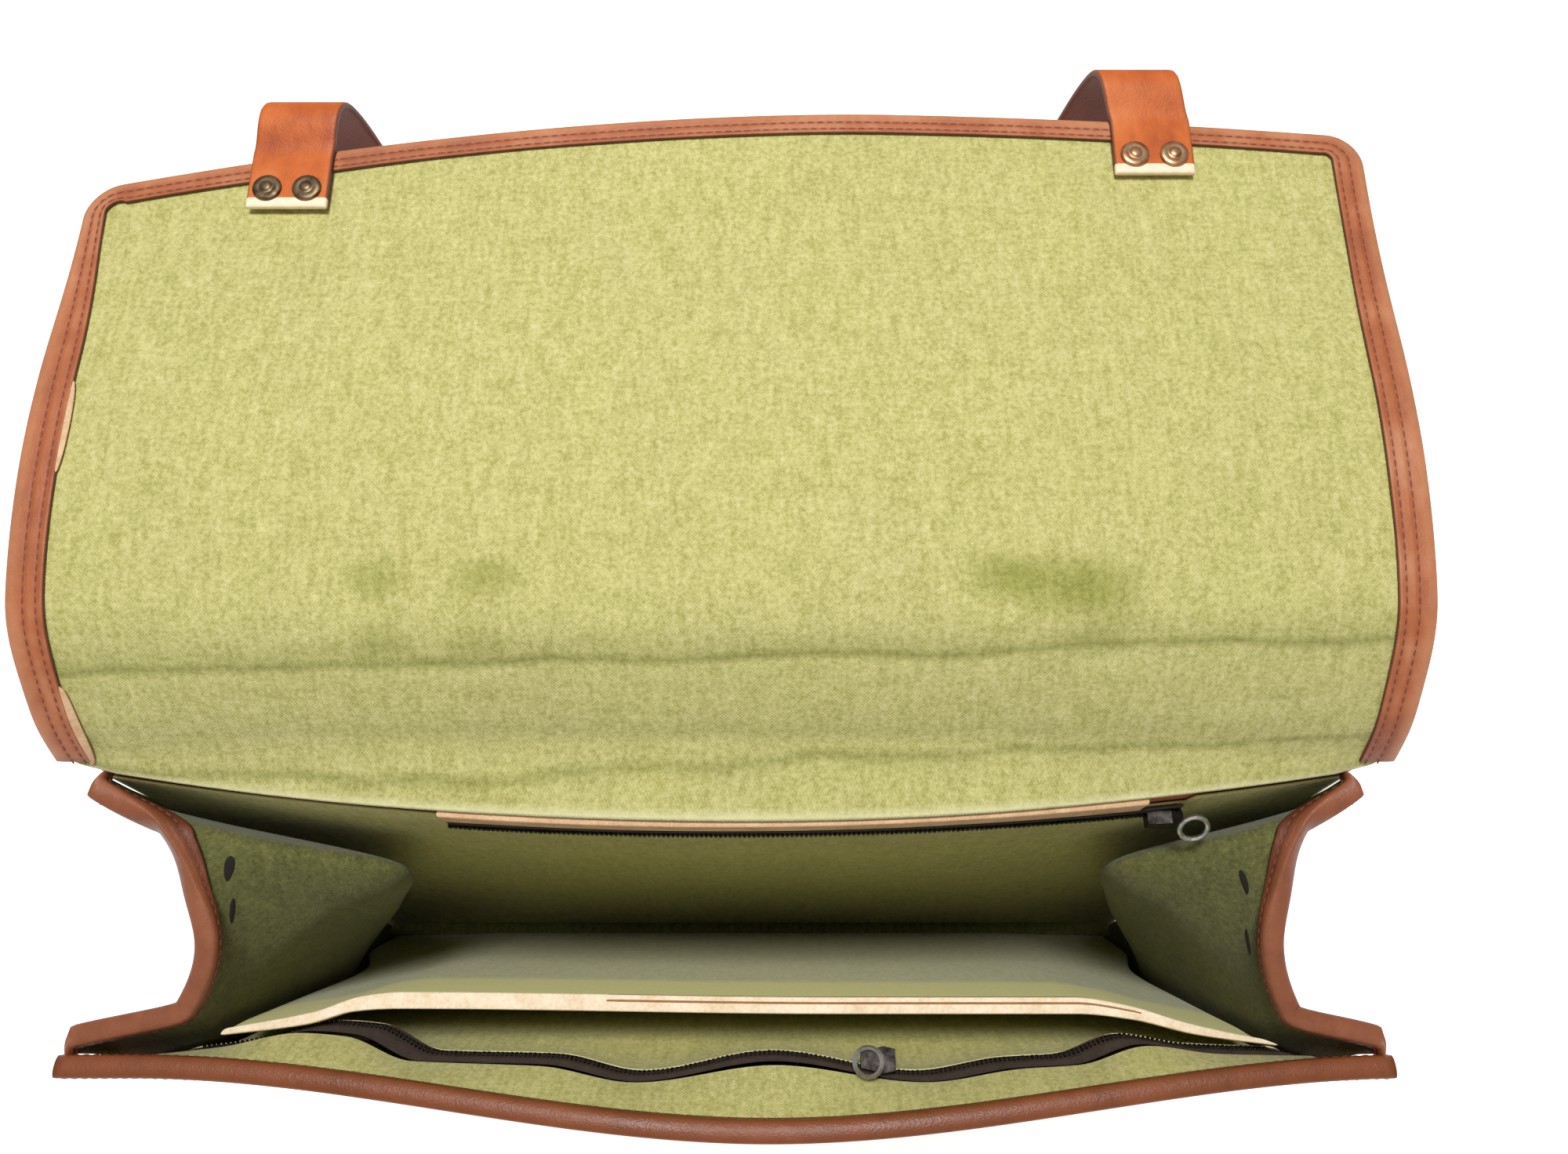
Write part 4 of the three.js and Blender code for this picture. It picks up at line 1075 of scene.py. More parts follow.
@dataclass
class RepeatedRun:
    """Stitches or zip teeth set along lines by a node tree."""

    kind: RunKind
    pitch: float
    length: float
    width: float
    height: float
    seed: int
    lines: list[Array] = field(default_factory=list)

    @classmethod
    def of_stitches(cls, seed: int) -> RepeatedRun:
        """Start a run of the binding's stitches."""
        return cls(RunKind.STITCH, 3.1 * MM, 2.5 * MM, 0.62 * MM, 0.55 * MM, seed)

    def add(self, line: Array) -> None:
        """Add a line of places for the run to follow."""
        self.lines.append(line)

    def _tree(self) -> tuple[bpy.types.NodeTree, dict[str, str]]:
        """Build the node tree.

        Returns:
            The tree and the identifiers of its named inputs.
        """
        tree = bpy.data.node_groups.new(f"{self.kind.value}_run", "GeometryNodeTree")
        face = tree.interface
        face.new_socket("Geometry", in_out="INPUT", socket_type="NodeSocketGeometry")
        names = {}
        for name in ("Pitch", "Length", "Width", "Height"):
            names[name] = face.new_socket(name, in_out="INPUT", socket_type="NodeSocketFloat").identifier
        names["Seed"] = face.new_socket("Seed", in_out="INPUT", socket_type="NodeSocketInt").identifier
        names["Material"] = face.new_socket(
            "Material", in_out="INPUT", socket_type="NodeSocketMaterial"
        ).identifier
        face.new_socket("Geometry", in_out="OUTPUT", socket_type="NodeSocketGeometry")

        def node(
            kind: str, links: dict[str | int, object] | None = None, **settings: object
        ) -> bpy.types.Node:
            """Add a node with its settings and inputs."""
            made = tree.nodes.new(kind)
            for key, value in settings.items():
                setattr(made, key, value)
            for key, value in (links or {}).items():
                if isinstance(value, bpy.types.NodeSocket):
                    tree.links.new(value, made.inputs[key])
                else:
                    made.inputs[key].default_value = value
            return made

        group = node("NodeGroupInput").outputs
        curve = node("GeometryNodeMeshToCurve", {"Mesh": group["Geometry"]})
        points = node(
            "GeometryNodeResampleCurve", {"Curve": curve.outputs[0], "Length": group["Pitch"]}, mode="LENGTH"
        )
        tangent = node("GeometryNodeInputTangent")
        turn = node("FunctionNodeAlignRotationToVector", {"Vector": tangent.outputs[0]}, axis="X")
        if self.kind is RunKind.STITCH:
            shape = node("GeometryNodeMeshUVSphere", {"Segments": 8, "Rings": 5, "Radius": 0.5})
        else:
            shape = node("GeometryNodeMeshCube", {"Size": (1.0, 1.0, 1.0)})
        size = node(
            "ShaderNodeCombineXYZ", {"X": group["Length"], "Y": group["Width"], "Z": group["Height"]}
        )
        sized = node(
            "GeometryNodeTransform", {"Geometry": shape.outputs["Mesh"], "Scale": size.outputs[0]}
        )
        vary = node(
            "FunctionNodeRandomValue",
            {0: (0.88, 0.9, 0.9), 1: (1.08, 1.1, 1.1), "Seed": group["Seed"]},
            data_type="FLOAT_VECTOR",
        )
        placed = node(
            "GeometryNodeInstanceOnPoints",
            {
                "Points": points.outputs[0],
                "Instance": sized.outputs[0],
                "Rotation": turn.outputs[0],
                "Scale": vary.outputs[0],
            },
        )
        real = node("GeometryNodeRealizeInstances", {"Geometry": placed.outputs[0]})
        smooth = node("GeometryNodeSetShadeSmooth", {"Geometry": real.outputs[0]})
        dressed = node(
            "GeometryNodeSetMaterial", {"Geometry": smooth.outputs[0], "Material": group["Material"]}
        )
        node("NodeGroupOutput", {0: dressed.outputs[0]})
        return tree, names

    def make(self, name: str, material: bpy.types.Material) -> bpy.types.Object:
        """Turn the run into a plain mesh.

        Args:
            name: The object's name.
            material: Its material.

        Returns:
            The new object.
        """
        vertices, edges = [], []
        for line in self.lines:
            start = len(vertices)
            vertices.extend(line.tolist())
            edges.extend((start + i, start + i + 1) for i in range(len(line) - 1))
        path = bpy.data.meshes.new(f"{name}_path")
        path.from_pydata(vertices, edges, [])
        carrier = placed(f"{name}_path", path)
        tree, names = self._tree()
        modifier = carrier.modifiers.new("run", "NODES")
        modifier.node_group = tree
        sizes = {"Pitch": self.pitch, "Length": self.length, "Width": self.width, "Height": self.height}
        for key, value in sizes.items():
            modifier[names[key]] = value
        modifier[names["Seed"]] = self.seed
        modifier[names["Material"]] = material
        graph = bpy.context.evaluated_depsgraph_get()
        mesh = bpy.data.meshes.new_from_object(carrier.evaluated_get(graph))
        carrier.modifiers.remove(modifier)
        bpy.data.objects.remove(carrier)
        bpy.data.node_groups.remove(tree)
        mesh.name = name
        return placed(name, mesh)


@dataclass
class FoldedBinding:
    """A strip of thin leather folded over an edge."""

    form: BagForm
    outer_leg: float
    inner_leg: float
    outer_face: float
    inner_face: float
    seams: tuple[float, ...] = ()
    crown: float = 1.9 * MM

    def path(self, grown: float) -> tuple[Array, Array]:
        """Return the fold's path across the edge.

        Args:
            grown: 1 for its outside, 0 for its inside.

        Returns:
            How far in from the edge, and the offset, at each place of the path.
        """
        slack = self.form.binding_slack - 0.35 * MM
        lift = slack + grown * self.form.binding_leather
        low, high = self.outer_face - lift, self.inner_face + lift
        turn = np.linspace(0, math.pi, 11)
        middle, half = (low + high) / 2, (high - low) / 2
        crown = (self.crown if grown else self.crown - self.form.binding_leather) * np.sin(turn) ** 0.8
        outer_leg = rimmed(spread(1 * MM, self.outer_leg, 13), 0.5 * MM)[::-1]
        inner_leg = rimmed(spread(1 * MM, self.inner_leg, 13), 0.5 * MM)
        inward = np.concatenate([outer_leg, -crown[1:-1], inner_leg])
        offset = np.concatenate(
            [np.full(len(outer_leg), low), middle - half * np.cos(turn[1:-1]), np.full(len(inner_leg), high)]
        )
        return inward, offset

    def build(self, name: str, edge: Callable[[Array, Array], Array], uv_along: Array) -> bpy.types.Object:
        """Make the binding.

        Args:
            name: The object's name.
            edge: Gives places for distances in from the edge and offsets.
            uv_along: How far along the edge each of its places lies.

        Returns:
            The new object.
        """
        outer_in, outer_off = self.path(1.0)
        inner_in, inner_off = self.path(0.0)
        border = np.ones(len(outer_in))
        border[[0, -1]] = 0.45
        border[[1, -2]] = 0.85
        mid_off = (outer_off + inner_off) / 2
        outer = edge(outer_in[None, :], (mid_off + (outer_off - mid_off) * border)[None, :])
        inner = edge(inner_in[None, :], (mid_off + (inner_off - mid_off) * border)[None, :])
        legs = np.concatenate([[0], np.cumsum(np.hypot(np.diff(outer_in), np.diff(outer_off)))])
        u, v = np.broadcast_arrays(uv_along[:, None], legs[None, :])
        reach = np.minimum(legs, legs[-1] - legs)
        rim = np.broadcast_to(np.clip(1 - reach / (1.6 * MM), 0, 1), u.shape)
        fold = np.broadcast_to(np.clip(1 - np.maximum(outer_in, 0) / (3.2 * MM), 0, 1), u.shape)
        sewn = [np.clip(1 - np.abs(outer_in - row) / (1.3 * MM), 0, 1) for row in self.seams]
        seam = np.broadcast_to(np.max(sewn, axis=0) if sewn else 0 * legs, u.shape)
        marks = {"rim": rim, "fold": fold, "seam": seam}
        return MeshMaker.wall(name, outer, inner, np.stack([u, v], -1), marks)


@dataclass
class Shell:
    """The leather panels of the body."""

    form: BagForm

    def build(self, wardrobe: Wardrobe) -> None:
        """Make the body's leather."""
        f = self.form
        foot = f.leather + f.clearance
        across = rimmed(spread(-f.half_width, f.half_width, 90), f.leather)
        rise = rimmed(spread(foot, f.back_height - 0.2 * MM, 70), f.leather)
        back = MeshMaker.sheet("back_leather", f.back, across, rise, (0, f.leather))
        wardrobe.dress(back, Finish.SHELL, "back_panel")

        shares = rimmed(spread(-1, 1, 90), 0.01)
        rise = rimmed(spread(foot, f.front_height, 60), f.leather)
        front = MeshMaker.sheet(
            "front_leather", f.front, shares, rise, (0, f.leather), (f.half_width, 1.0)
        )
        wardrobe.dress(front, Finish.SHELL, "front_panel")

        wide = rimmed(spread(-f.half_width, f.half_width, 60), f.leather)
        deep = rimmed(spread(-f.half_depth, f.half_depth, 20), f.leather)
        base = MeshMaker.sheet("base_leather", places_of, wide, deep, (0, f.leather))
        wardrobe.dress(base, Finish.SHELL, "base_panel")
        for name, side in SIDES:
            depths = rimmed(spread(0, 1, 70), 0.015)
            ups = rimmed(spread(0, 1, 90), 0.006)
            leather = MeshMaker.sheet(
                f"gusset_leather_{name}", f.sewn_gusset(side), depths, ups, (-f.leather, 0),
                (0.1, 0.27),
            )
            wardrobe.dress(leather, Finish.SHELL, f"gusset_{name}")


@dataclass
class Linings:
    """The canvas inside the body."""

    form: BagForm
    slot_half: tuple[float, float] = (0.056, 0.0035)
    slots: dict[str, tuple[tuple[str, float, float], ...]] = field(
        default_factory=lambda: {
            "left": (("rear", 0.755, 0.964), ("fore", 0.573, 0.954)),
            "right": (("rear", 0.7, 0.955), ("fore", 0.448, 0.945)),
        }
    )

    def build(self, wardrobe: Wardrobe) -> None:
        """Make the body's linings."""
        f = self.form
        low = f.lining_face + f.clearance
        plain_top = f.back_height - 2 * f.leather
        lip_foot = f.back_height - f.back_lip_height - f.clearance
        reach = f.half_width - f.leather

        def back(x: Array, share: Array, depth: Array) -> Array:
            """Place on the back's lining, under the zip where that is."""
            inside = (x > f.back_zip_from - f.leather) & (x < f.back_zip_to + f.leather)
            top = np.where(inside, lip_foot, plain_top)
            return f.back(x, low + (top - low) * share, depth)

        across = np.sort(
            np.concatenate(
                [
                    rimmed(spread(-reach, reach, 80), f.leather),
                    [f.back_zip_from - f.leather, f.back_zip_to + f.leather],
                ]
            )
        )
        rise = rimmed(spread(0, 1, 60), 0.005)
        lining = MeshMaker.sheet(
            "back_canvas", back, across, rise, (f.leather + f.clearance, f.lining_face), (1.0, 0.28)
        )
        wardrobe.dress(lining, Finish.CANVAS, "back_lining")
        face = back(across[:, None], rise[None, :], np.array(f.lining_face))
        declare_cloth(lining, face, "hung", "back_panel")

        half = f.half_width - f.leather - f.canvas - 3 * f.clearance
        deep = f.half_depth - f.leather - f.clearance

        floor = MeshMaker.sheet(
            "floor_canvas",
            places_of,
            rimmed(spread(-half, half, 60), f.canvas),
            rimmed(spread(-deep, deep, 20), f.canvas),
            (f.leather + f.clearance, f.lining_face),
        )
        wardrobe.dress(floor, Finish.GUSSET_CANVAS, "floor_lining")
        corners = places_of(np.array([[-half], [half]]), np.array([[-deep, deep]]), 0.0)
        declare_cloth(floor, corners, "laid", "base_panel")
        for name, side in SIDES:
            depths = rimmed(spread(0, 1, 80), 0.012)
            ups = rimmed(spread(0, 1, 110), 0.004)
            surface = f.sewn_gusset(side)
            offsets = (f.clearance, f.clearance + f.canvas)
            canvas = MeshMaker.sheet(f"gusset_canvas_{name}", surface, depths, ups, offsets, (0.1, 0.27))
            wardrobe.dress(canvas, Finish.GUSSET_CANVAS, f"gusset_lining_{name}")
            face = surface(depths[:, None], ups[None, :], np.zeros((len(depths), len(ups))))
            declare_cloth(canvas, face, "folded", f"gusset_{name}")
            for label, depth_at, up_at in self.slots[name]:
                # Each slot is a thin near-black patch: painted shade inside a slit.
                slot = MeshMaker.sheet(
                    f"gusset_slot_{name}_{label}",
                    self.slot_surface(f.gusset(side), depth_at, up_at),
                    spread(-1, 1, 17),
                    spread(-1, 1, 9),
                    (f.lining_face - f.leather - 0.2 * MM, f.lining_face - f.leather + 0.25 * MM),
                    (0.002, 0.005),
                )
                wardrobe.dress(slot, Finish.SLOT)

    def slot_surface(self, surface: Surface, depth_at: float, up_at: float) -> Surface:
        """Return a small lens-shaped patch of a gusset, from -1 to 1 each way."""

        def patch(across: Array, along: Array, inward: Array) -> Array:
            """Place on the patch."""
            wide = along * np.sqrt(1.02 - across**2) * self.slot_half[1]
            return surface(depth_at + across * self.slot_half[0] + 0 * wide, up_at + wide, inward + 0 * wide)

        return patch


@dataclass
class Flap:
    """The flap: leather, lining, folded binding and its stitching."""

    form: BagForm
    side_width: float = 10 * MM
    free_width: float = 6.5 * MM
    inner_corner: float = 2 * MM
    narrowed: float = 0.42
    narrow_from: float = 128 * MM
    narrow_over: float = 60 * MM
    right_narrowing: float = 0.3
    stitch_rows: tuple[float, float] = (0.42, 0.8)
    puff_height: float = 0.5 * MM
    puff_scale: float = 11
    puff_border: float = 16 * MM
    crease_depth: float = 0.45 * MM
    roll_height: float = 1.5 * MM
    roll_width: float = 5 * MM
    raw_lift: float = 1.1 * MM
    raw_strips: tuple[tuple[str, float, float, float, float], ...] = (
        ("heel", -195.5 * MM, -192 * MM, 2 * MM, 32 * MM),
        ("upper", -195.5 * MM, -192.9 * MM, 94 * MM, 124 * MM),
    )

    def _shares(self) -> tuple[Array, Array]:
        """Return the flap's places across and its shares along."""
        f = self.form
        half = f.flap_width / 2
        turn = np.linspace(0, math.pi / 2, 9)
        corner = half - f.flap_corner + f.flap_corner * np.cos(turn)
        middle = spread(f.flap_corner - half, half - f.flap_corner, 120)
        across = np.unique(np.concatenate([-corner, middle, corner]))
        return across, rimmed(spread(0, 1, 110), 0.006)

    def outline(self, inset: tuple[float, float], corner: float) -> Array:
        """Return places across and up along a line set in from the flap's edge.

        Args:
            inset: How far in it lies at the sides and at the free edge.
            corner: The radius of its corners.

        Returns:
            Places across and up, from the left heel round to the right heel.
        """
        f = self.form
        half = f.flap_width / 2 - inset[0]
        turn = np.linspace(0, math.pi / 2, 12)[1:-1]
        corner_x = half - corner + corner * np.cos(turn)
        free_x = spread(corner - half, half - corner, 120)
        ups = spread(0, 1, 70)
        heel = f.flap_heel_corner * 0.4
        x = np.concatenate([np.full(70, -half), -corner_x, free_x, corner_x[::-1], np.full(70, half)])
        up = f.flap_end(x, inset[0], corner) - inset[1]
        for side, share in ((slice(0, 70), ups), (slice(-70, None), ups[::-1])):
            up[side] = heel + (up[side] - heel) * share
        return np.stack([x, up], -1)

    def build(self, wardrobe: Wardrobe) -> None:
        """Make the flap."""
        f = self.form
        across, shares = self._shares()
        u, v = across[:, None], shares[None, :]
        up = f.flap_heel(u) + (f.flap_end(u) - f.flap_heel(u)) * v
        uv = np.stack(np.broadcast_arrays(u, up), -1)
        rim = np.clip(1 - (f.flap_width / 2 - np.abs(u)) / (6 * MM), 0, 1) + 0 * v
        flat = np.zeros_like(up)
        leather = MeshMaker.wall(
            "flap_leather", f.flap(u, up, f.leather), f.flap(u, up, 0), uv, {"rim": rim, "fold": flat}
        )
        wardrobe.dress(leather, Finish.SHELL, "flap")

        inside = np.clip((f.flap_width / 2 - np.abs(u)) / self.puff_border, 0, 1)
        inside = inside * np.clip((1 - v) * 12, 0, 1)
        puff = self.puff_height * (1 + ripple(u, up, self.puff_scale, 1.7)) * inside
        crease = sum(
            depth * self.crease_depth * np.exp(-(((up - height) / (2 * width)) ** 2))
            for height, width, depth in CREASE_LINES
        )
        rolled = self.roll_height * np.exp(-((up / self.roll_width) ** 2)) * inside
        top = -f.clearance - f.canvas - np.maximum(puff - crease * inside, 0) - rolled
        rim = np.maximum(rim, np.clip(1 - up / (9 * MM), 0, 1))
        lining = MeshMaker.wall(
            "flap_canvas", f.flap(u, up, top), f.flap(u, up, -f.clearance + flat), uv,
            {"rim": rim, "fold": flat},
        )
        wardrobe.dress(lining, Finish.FLAP_CANVAS, "flap_lining")
        declare_cloth(lining, f.flap(u, up, 0 * up), "laid", "flap")
        for row in self.raw_strips:
            self._raw_strip(wardrobe, *row)
        self._binding(wardrobe)

    def _raw_strip(
        self, wardrobe: Wardrobe, label: str, x_from: float, x_to: float, up_from: float, up_to: float
    ) -> None:
        """Make one raw strip beside the binding."""
        f = self.form
        seat = -f.clearance - f.canvas - self.raw_lift

        def strip(share: Array, along: Array, depth: Array) -> Array:
            """Place on the strip, which tapers towards its ends."""
            taper = np.sqrt(np.clip(4 * (along - up_from) * (up_to - along), 0, None)) / (up_to - up_from)
            x = x_from + (x_to - x_from) * share * (0.25 + 0.75 * taper)
            return f.flap(x, along + 0 * x, seat - depth + 0 * x)

        wide, long = spread(0, 1, 7), spread(up_from, up_to, 30)
        raw = MeshMaker.sheet(f"flap_raw_strip_{label}", strip, wide, long, (0.5 * MM, 0))
        wardrobe.dress(raw, Finish.RAW)

    def _binding(self, wardrobe: Wardrobe) -> None:
        """Make the flap's binding and its two rows of stitching."""
        f = self.form
        rim = self.outline((0.0, 0.0), f.flap_corner)
        inner = self.outline((self.side_width, self.free_width), self.inner_corner)
        steps = np.concatenate([[0], np.cumsum(np.linalg.norm(np.diff(rim, axis=0), axis=1))])
        waver = 1 + 0.05 * np.array([noise.noise(Vector((s * 22, 4.2, 0))) for s in steps])
        at_side = np.clip((np.abs(rim[:, 0]) - f.flap_width / 2 + f.flap_corner) / f.flap_corner, 0, 1)
        at_side = np.where(rim[:, 0] < 0, at_side, self.right_narrowing * at_side)
        high = np.clip((rim[:, 1] - self.narrow_from) / self.narrow_over, 0, 1)
        waver *= 1 - self.narrowed * at_side * high * high * (3 - 2 * high)

        def edge(inward: Array, offset: Array) -> Array:
            """Place on the binding, in from the flap's edge."""
            share = (inward / self.side_width * waver[:, None])[..., None]
            spot = rim[:, None] + (inner - rim)[:, None] * share
            return f.flap(spot[..., 0], spot[..., 1], offset)

        rows = tuple(row * self.side_width for row in self.stitch_rows)
        folded = FoldedBinding(f, self.side_width, self.side_width, -f.clearance - f.canvas, f.leather, rows)
        piece = folded.build("flap_edge_binding", edge, steps)
        wardrobe.dress(piece, Finish.BINDING, "flap_binding")
        run = RepeatedRun.of_stitches(7)
        top = folded.outer_face - f.binding_leather - STITCH_LIFT
        under = folded.inner_face + f.binding_leather + STITCH_LIFT
        for row in self.stitch_rows:
            for face in (top, under):
                run.add(edge(np.array([[row * self.side_width]]), np.array([[face]]))[:, 0])
        stitches = run.make("flap_stitching", wardrobe.material(Finish.THREAD))
        wardrobe.dress(stitches, Finish.THREAD)


@dataclass
class MouthBindings:
    """The folded bindings along the front's and the gussets' top edges."""

    form: BagForm
    width: float = 8 * MM
    ear_reach: float = 0.05
    back_reach: float = 0.04

    def build(self, wardrobe: Wardrobe) -> None:
        """Make the mouth's bindings."""
        f = self.form
        run = RepeatedRun.of_stitches(11)
        shares = spread(-1, 1, 150)

        def front_edge(inward: Array, offset: Array) -> Array:
            """Place on the front's binding."""
            z = f.front_height - np.minimum(inward, self.width)
            return f.front(shares[:, None], z, offset)

        lift = f.binding_leather + STITCH_LIFT
        rows = (0.36 * self.width, 0.62 * self.width)
        folded = FoldedBinding(f, self.width, self.width * 0.6, 0.0, f.lining_face, rows)
        piece = folded.build("front_edge_binding", front_edge, shares * f.half_width)
        wardrobe.dress(piece, Finish.FRONT_BINDING, "front_binding")
        for row, face in ((0.62, -lift), (0.36, f.lining_face + lift)):
            run.add(front_edge(np.array([[row * self.width]]), np.array([[face]]))[:, 0])

        for name, side in SIDES:
            depths = spread(-self.ear_reach, 1 + self.back_reach, 120)
            surface = f.gusset(side)

            def gusset_edge(inward: Array, offset: Array, surface: Surface = surface) -> Array:
                """Place on a gusset's binding."""
                up = 1 - np.maximum(inward, 0) / f.back_height
                place = surface(depths[:, None], up + 0 * depths[:, None], offset + 0 * depths[:, None])
                place[..., 2] -= np.minimum(inward, 0)
                return place

            folded = FoldedBinding(f, self.width, self.width * 0.6, -f.leather, f.clearance + f.canvas, rows)
            piece = folded.build(f"gusset_edge_binding_{name}", gusset_edge, depths * f.body_depth)
            wardrobe.dress(piece, Finish.GUSSET_BINDING, f"gusset_binding_{name}")
            for row, face in ((0.6, -f.leather - lift), (0.36, f.clearance + f.canvas + lift)):
                run.add(gusset_edge(np.array([[row * self.width]]), np.array([[face]]))[:, 0])
        stitches = run.make("mouth_stitching", wardrobe.material(Finish.THREAD))
        wardrobe.dress(stitches, Finish.THREAD)


@dataclass
class FrontPocket:
    """The facing, the wavy zip and the pocket's panel behind the front."""

    form: BagForm
    binding_width: float = 8 * MM
    depth: float = 175 * MM
    tape_width: float = 5 * MM
    tape_thickness: float = 1 * MM
    slider_at: float = 48 * MM

    def facing(self, share: Array, down: Array, depth: Array) -> Array:
        """Place on the facing, from the binding down to the zip."""
        f = self.form
        parallel = self.binding_width * 0.6 + 1 * MM
        length = f.front_height - f.zip_height
        hem_at = f.zip_height + self.tape_width * 0.3
        z = f.front_height - f.clearance + (hem_at - f.front_height + f.clearance) * down
        tucked = np.clip((f.front_height - z - parallel) / (length - parallel), 0, 1)
        hem = f.zip_back(share) - self.tape_thickness
        held = f.zip_back(np.sign(share)) - self.tape_thickness
        reach = np.minimum(f.gusset_inside(share, held, z) - f.seam_margin, f.half_width - self.binding_width)
        start = f.front_face(share * reach, z) + f.leather + f.clearance
        return places_of(share * reach, start + (hem - start) * tucked + depth, z)

    def tape(self, share: Array, down: Array, depth: Array) -> Array:
        """Place on the zip's tape."""
        f = self.form
        hem_at = f.zip_height + self.tape_width * 0.3
        z = hem_at - f.clearance - down * self.tape_width * 0.6
        rise = depth - self.tape_thickness + down * self.tape_width * 0.4
        y = f.zip_back(share) + rise
        reach = f.gusset_inside(share, f.zip_back(np.sign(share)) + rise, z) - f.seam_margin - 2 * f.leather
        return places_of(share * reach, y, z)

    def panel(self, share: Array, down: Array, depth: Array) -> Array:
        """Place on the pocket's panel, which hangs inside the bag."""
        f = self.form
        top = f.zip_height - self.tape_width * 0.3 - 2 * f.clearance
        z = top - down * self.depth + 0 * share
        behind = f.body_depth * ease(*f.POCKET_DROP, down)
        sewn = f.front_face(share * f.half_width, z) + f.leather + 2 * f.clearance
        hung = np.maximum(f.front_face(np.zeros_like(z), z) + behind, sewn)
        held = f.zip_back(share) + self.tape_width * 0.4
        free = np.clip(down / 0.16, 0, 1)
        y = held + (hung - held) * free + depth
        at_side = f.zip_back(np.sign(share)) + self.tape_width * 0.4
        sewn_at = at_side + (hung - at_side) * free + depth
        reach = f.gusset_inside(share, sewn_at, z) - f.seam_margin - f.leather
        return places_of(share * reach, y, z)

    def build(self, wardrobe: Wardrobe) -> None:
        """Make the pocket."""
        f = self.form
        shares = rimmed(spread(-1, 1, 160), 0.005)
        wide = f.half_width * 0.93
        facing = MeshMaker.sheet(
            "front_facing", self.facing, shares, rimmed(spread(0, 1, 24), 0.03), (0, f.canvas), (wide, 0.03)
        )
        wardrobe.dress(facing, Finish.POCKET_CANVAS, "front_lining")
        places = self.facing(shares[:, None], spread(0, 1, 24)[None, :], np.array(0.0))
        declare_cloth(facing, places, "hung", "front_panel")
        tape = MeshMaker.sheet(
            "front_zip_band",
            self.tape,
            shares,
            rimmed(spread(0, 1, 8), 0.05),
            (0, self.tape_thickness * 1.6),
            (wide, 0.007),
        )
        wardrobe.dress(tape, Finish.TAPE, "front_zip_tape")
        panel = MeshMaker.sheet(
            "front_pocket_canvas", self.panel, shares, rimmed(spread(0, 1, 60), 0.006), (0, f.canvas),
            (wide, 0.18),
        )
        wardrobe.dress(panel, Finish.POCKET_CANVAS, "front_pocket")
        places = self.panel(shares[:, None], spread(0, 1, 60)[None, :], np.array(0.0))
        declare_cloth(panel, places, "hung", "front_zip_tape")
        teeth = RepeatedRun(RunKind.TOOTH, 1.5 * MM, 0.8 * MM, 1.6 * MM, 0.9 * MM, seed=3)
        line = self.tape(spread(-0.98, 0.98, 200)[:, None], np.array([[0.45]]), np.array([[1.8 * MM]]))
        teeth.add(line[:, 0])
        wardrobe.dress(teeth.make("front_zip_teeth", wardrobe.material(Finish.DARK_METAL)), Finish.DARK_METAL)


@dataclass
class Divider:
    """The padded divider and its raw cream edge."""

    form: BagForm
    edge_height: float = 2.4 * MM
    tape_from: float = -0.25
    tape_lap: float = 2.3 * MM

    def build(self, wardrobe: Wardrobe) -> None:
        """Make the divider."""
        f = self.form
        shares = rimmed(spread(-1, 1, 140), 0.006)
        ups = rimmed(spread(0, 1, 60), 0.006)
        pad = MeshMaker.sheet(
            "divider_pad", f.divider, shares, ups, (f.divider_thickness, 0), (f.half_width * 0.93, 0.24)
        )
        wardrobe.dress(pad, Finish.DIVIDER_CANVAS, "divider")

        def edge(share: Array, rise: Array, depth: Array) -> Array:
            """Place on the divider's top edge."""
            place = f.divider(share, np.ones_like(share), depth)
            place[..., 2] = f.divider_height + f.clearance + rise * self.edge_height
            return place

        cream = MeshMaker.sheet(
            "divider_cream_edge",
            edge,
            shares,
            rimmed(spread(0, 1, 6), 0.1),
            (f.divider_thickness, 0),
            (f.half_width * 0.93, self.edge_height),
        )
        wardrobe.dress(cream, Finish.CREAM, "divider_edge")

        def tape(share: Array, rise: Array, depth: Array) -> Array:
            """Place on the tape sewn over the edge's back."""
            place = f.divider(share, np.ones_like(share + rise), depth - self.tape_lap * rise)
            place[..., 2] = f.divider_height + f.clearance + (self.edge_height + 0.4 * MM) * rise
            return place

        sewn = MeshMaker.sheet(
            "divider_edge_tape",
            tape,
            spread(self.tape_from, 0.8, 90),
            spread(0, 1, 8),
            (f.divider_thickness + 0.5 * MM, f.divider_thickness),
            (f.half_width * 0.93, self.edge_height),
        )
        wardrobe.dress(sewn, Finish.HEM_TAPE)


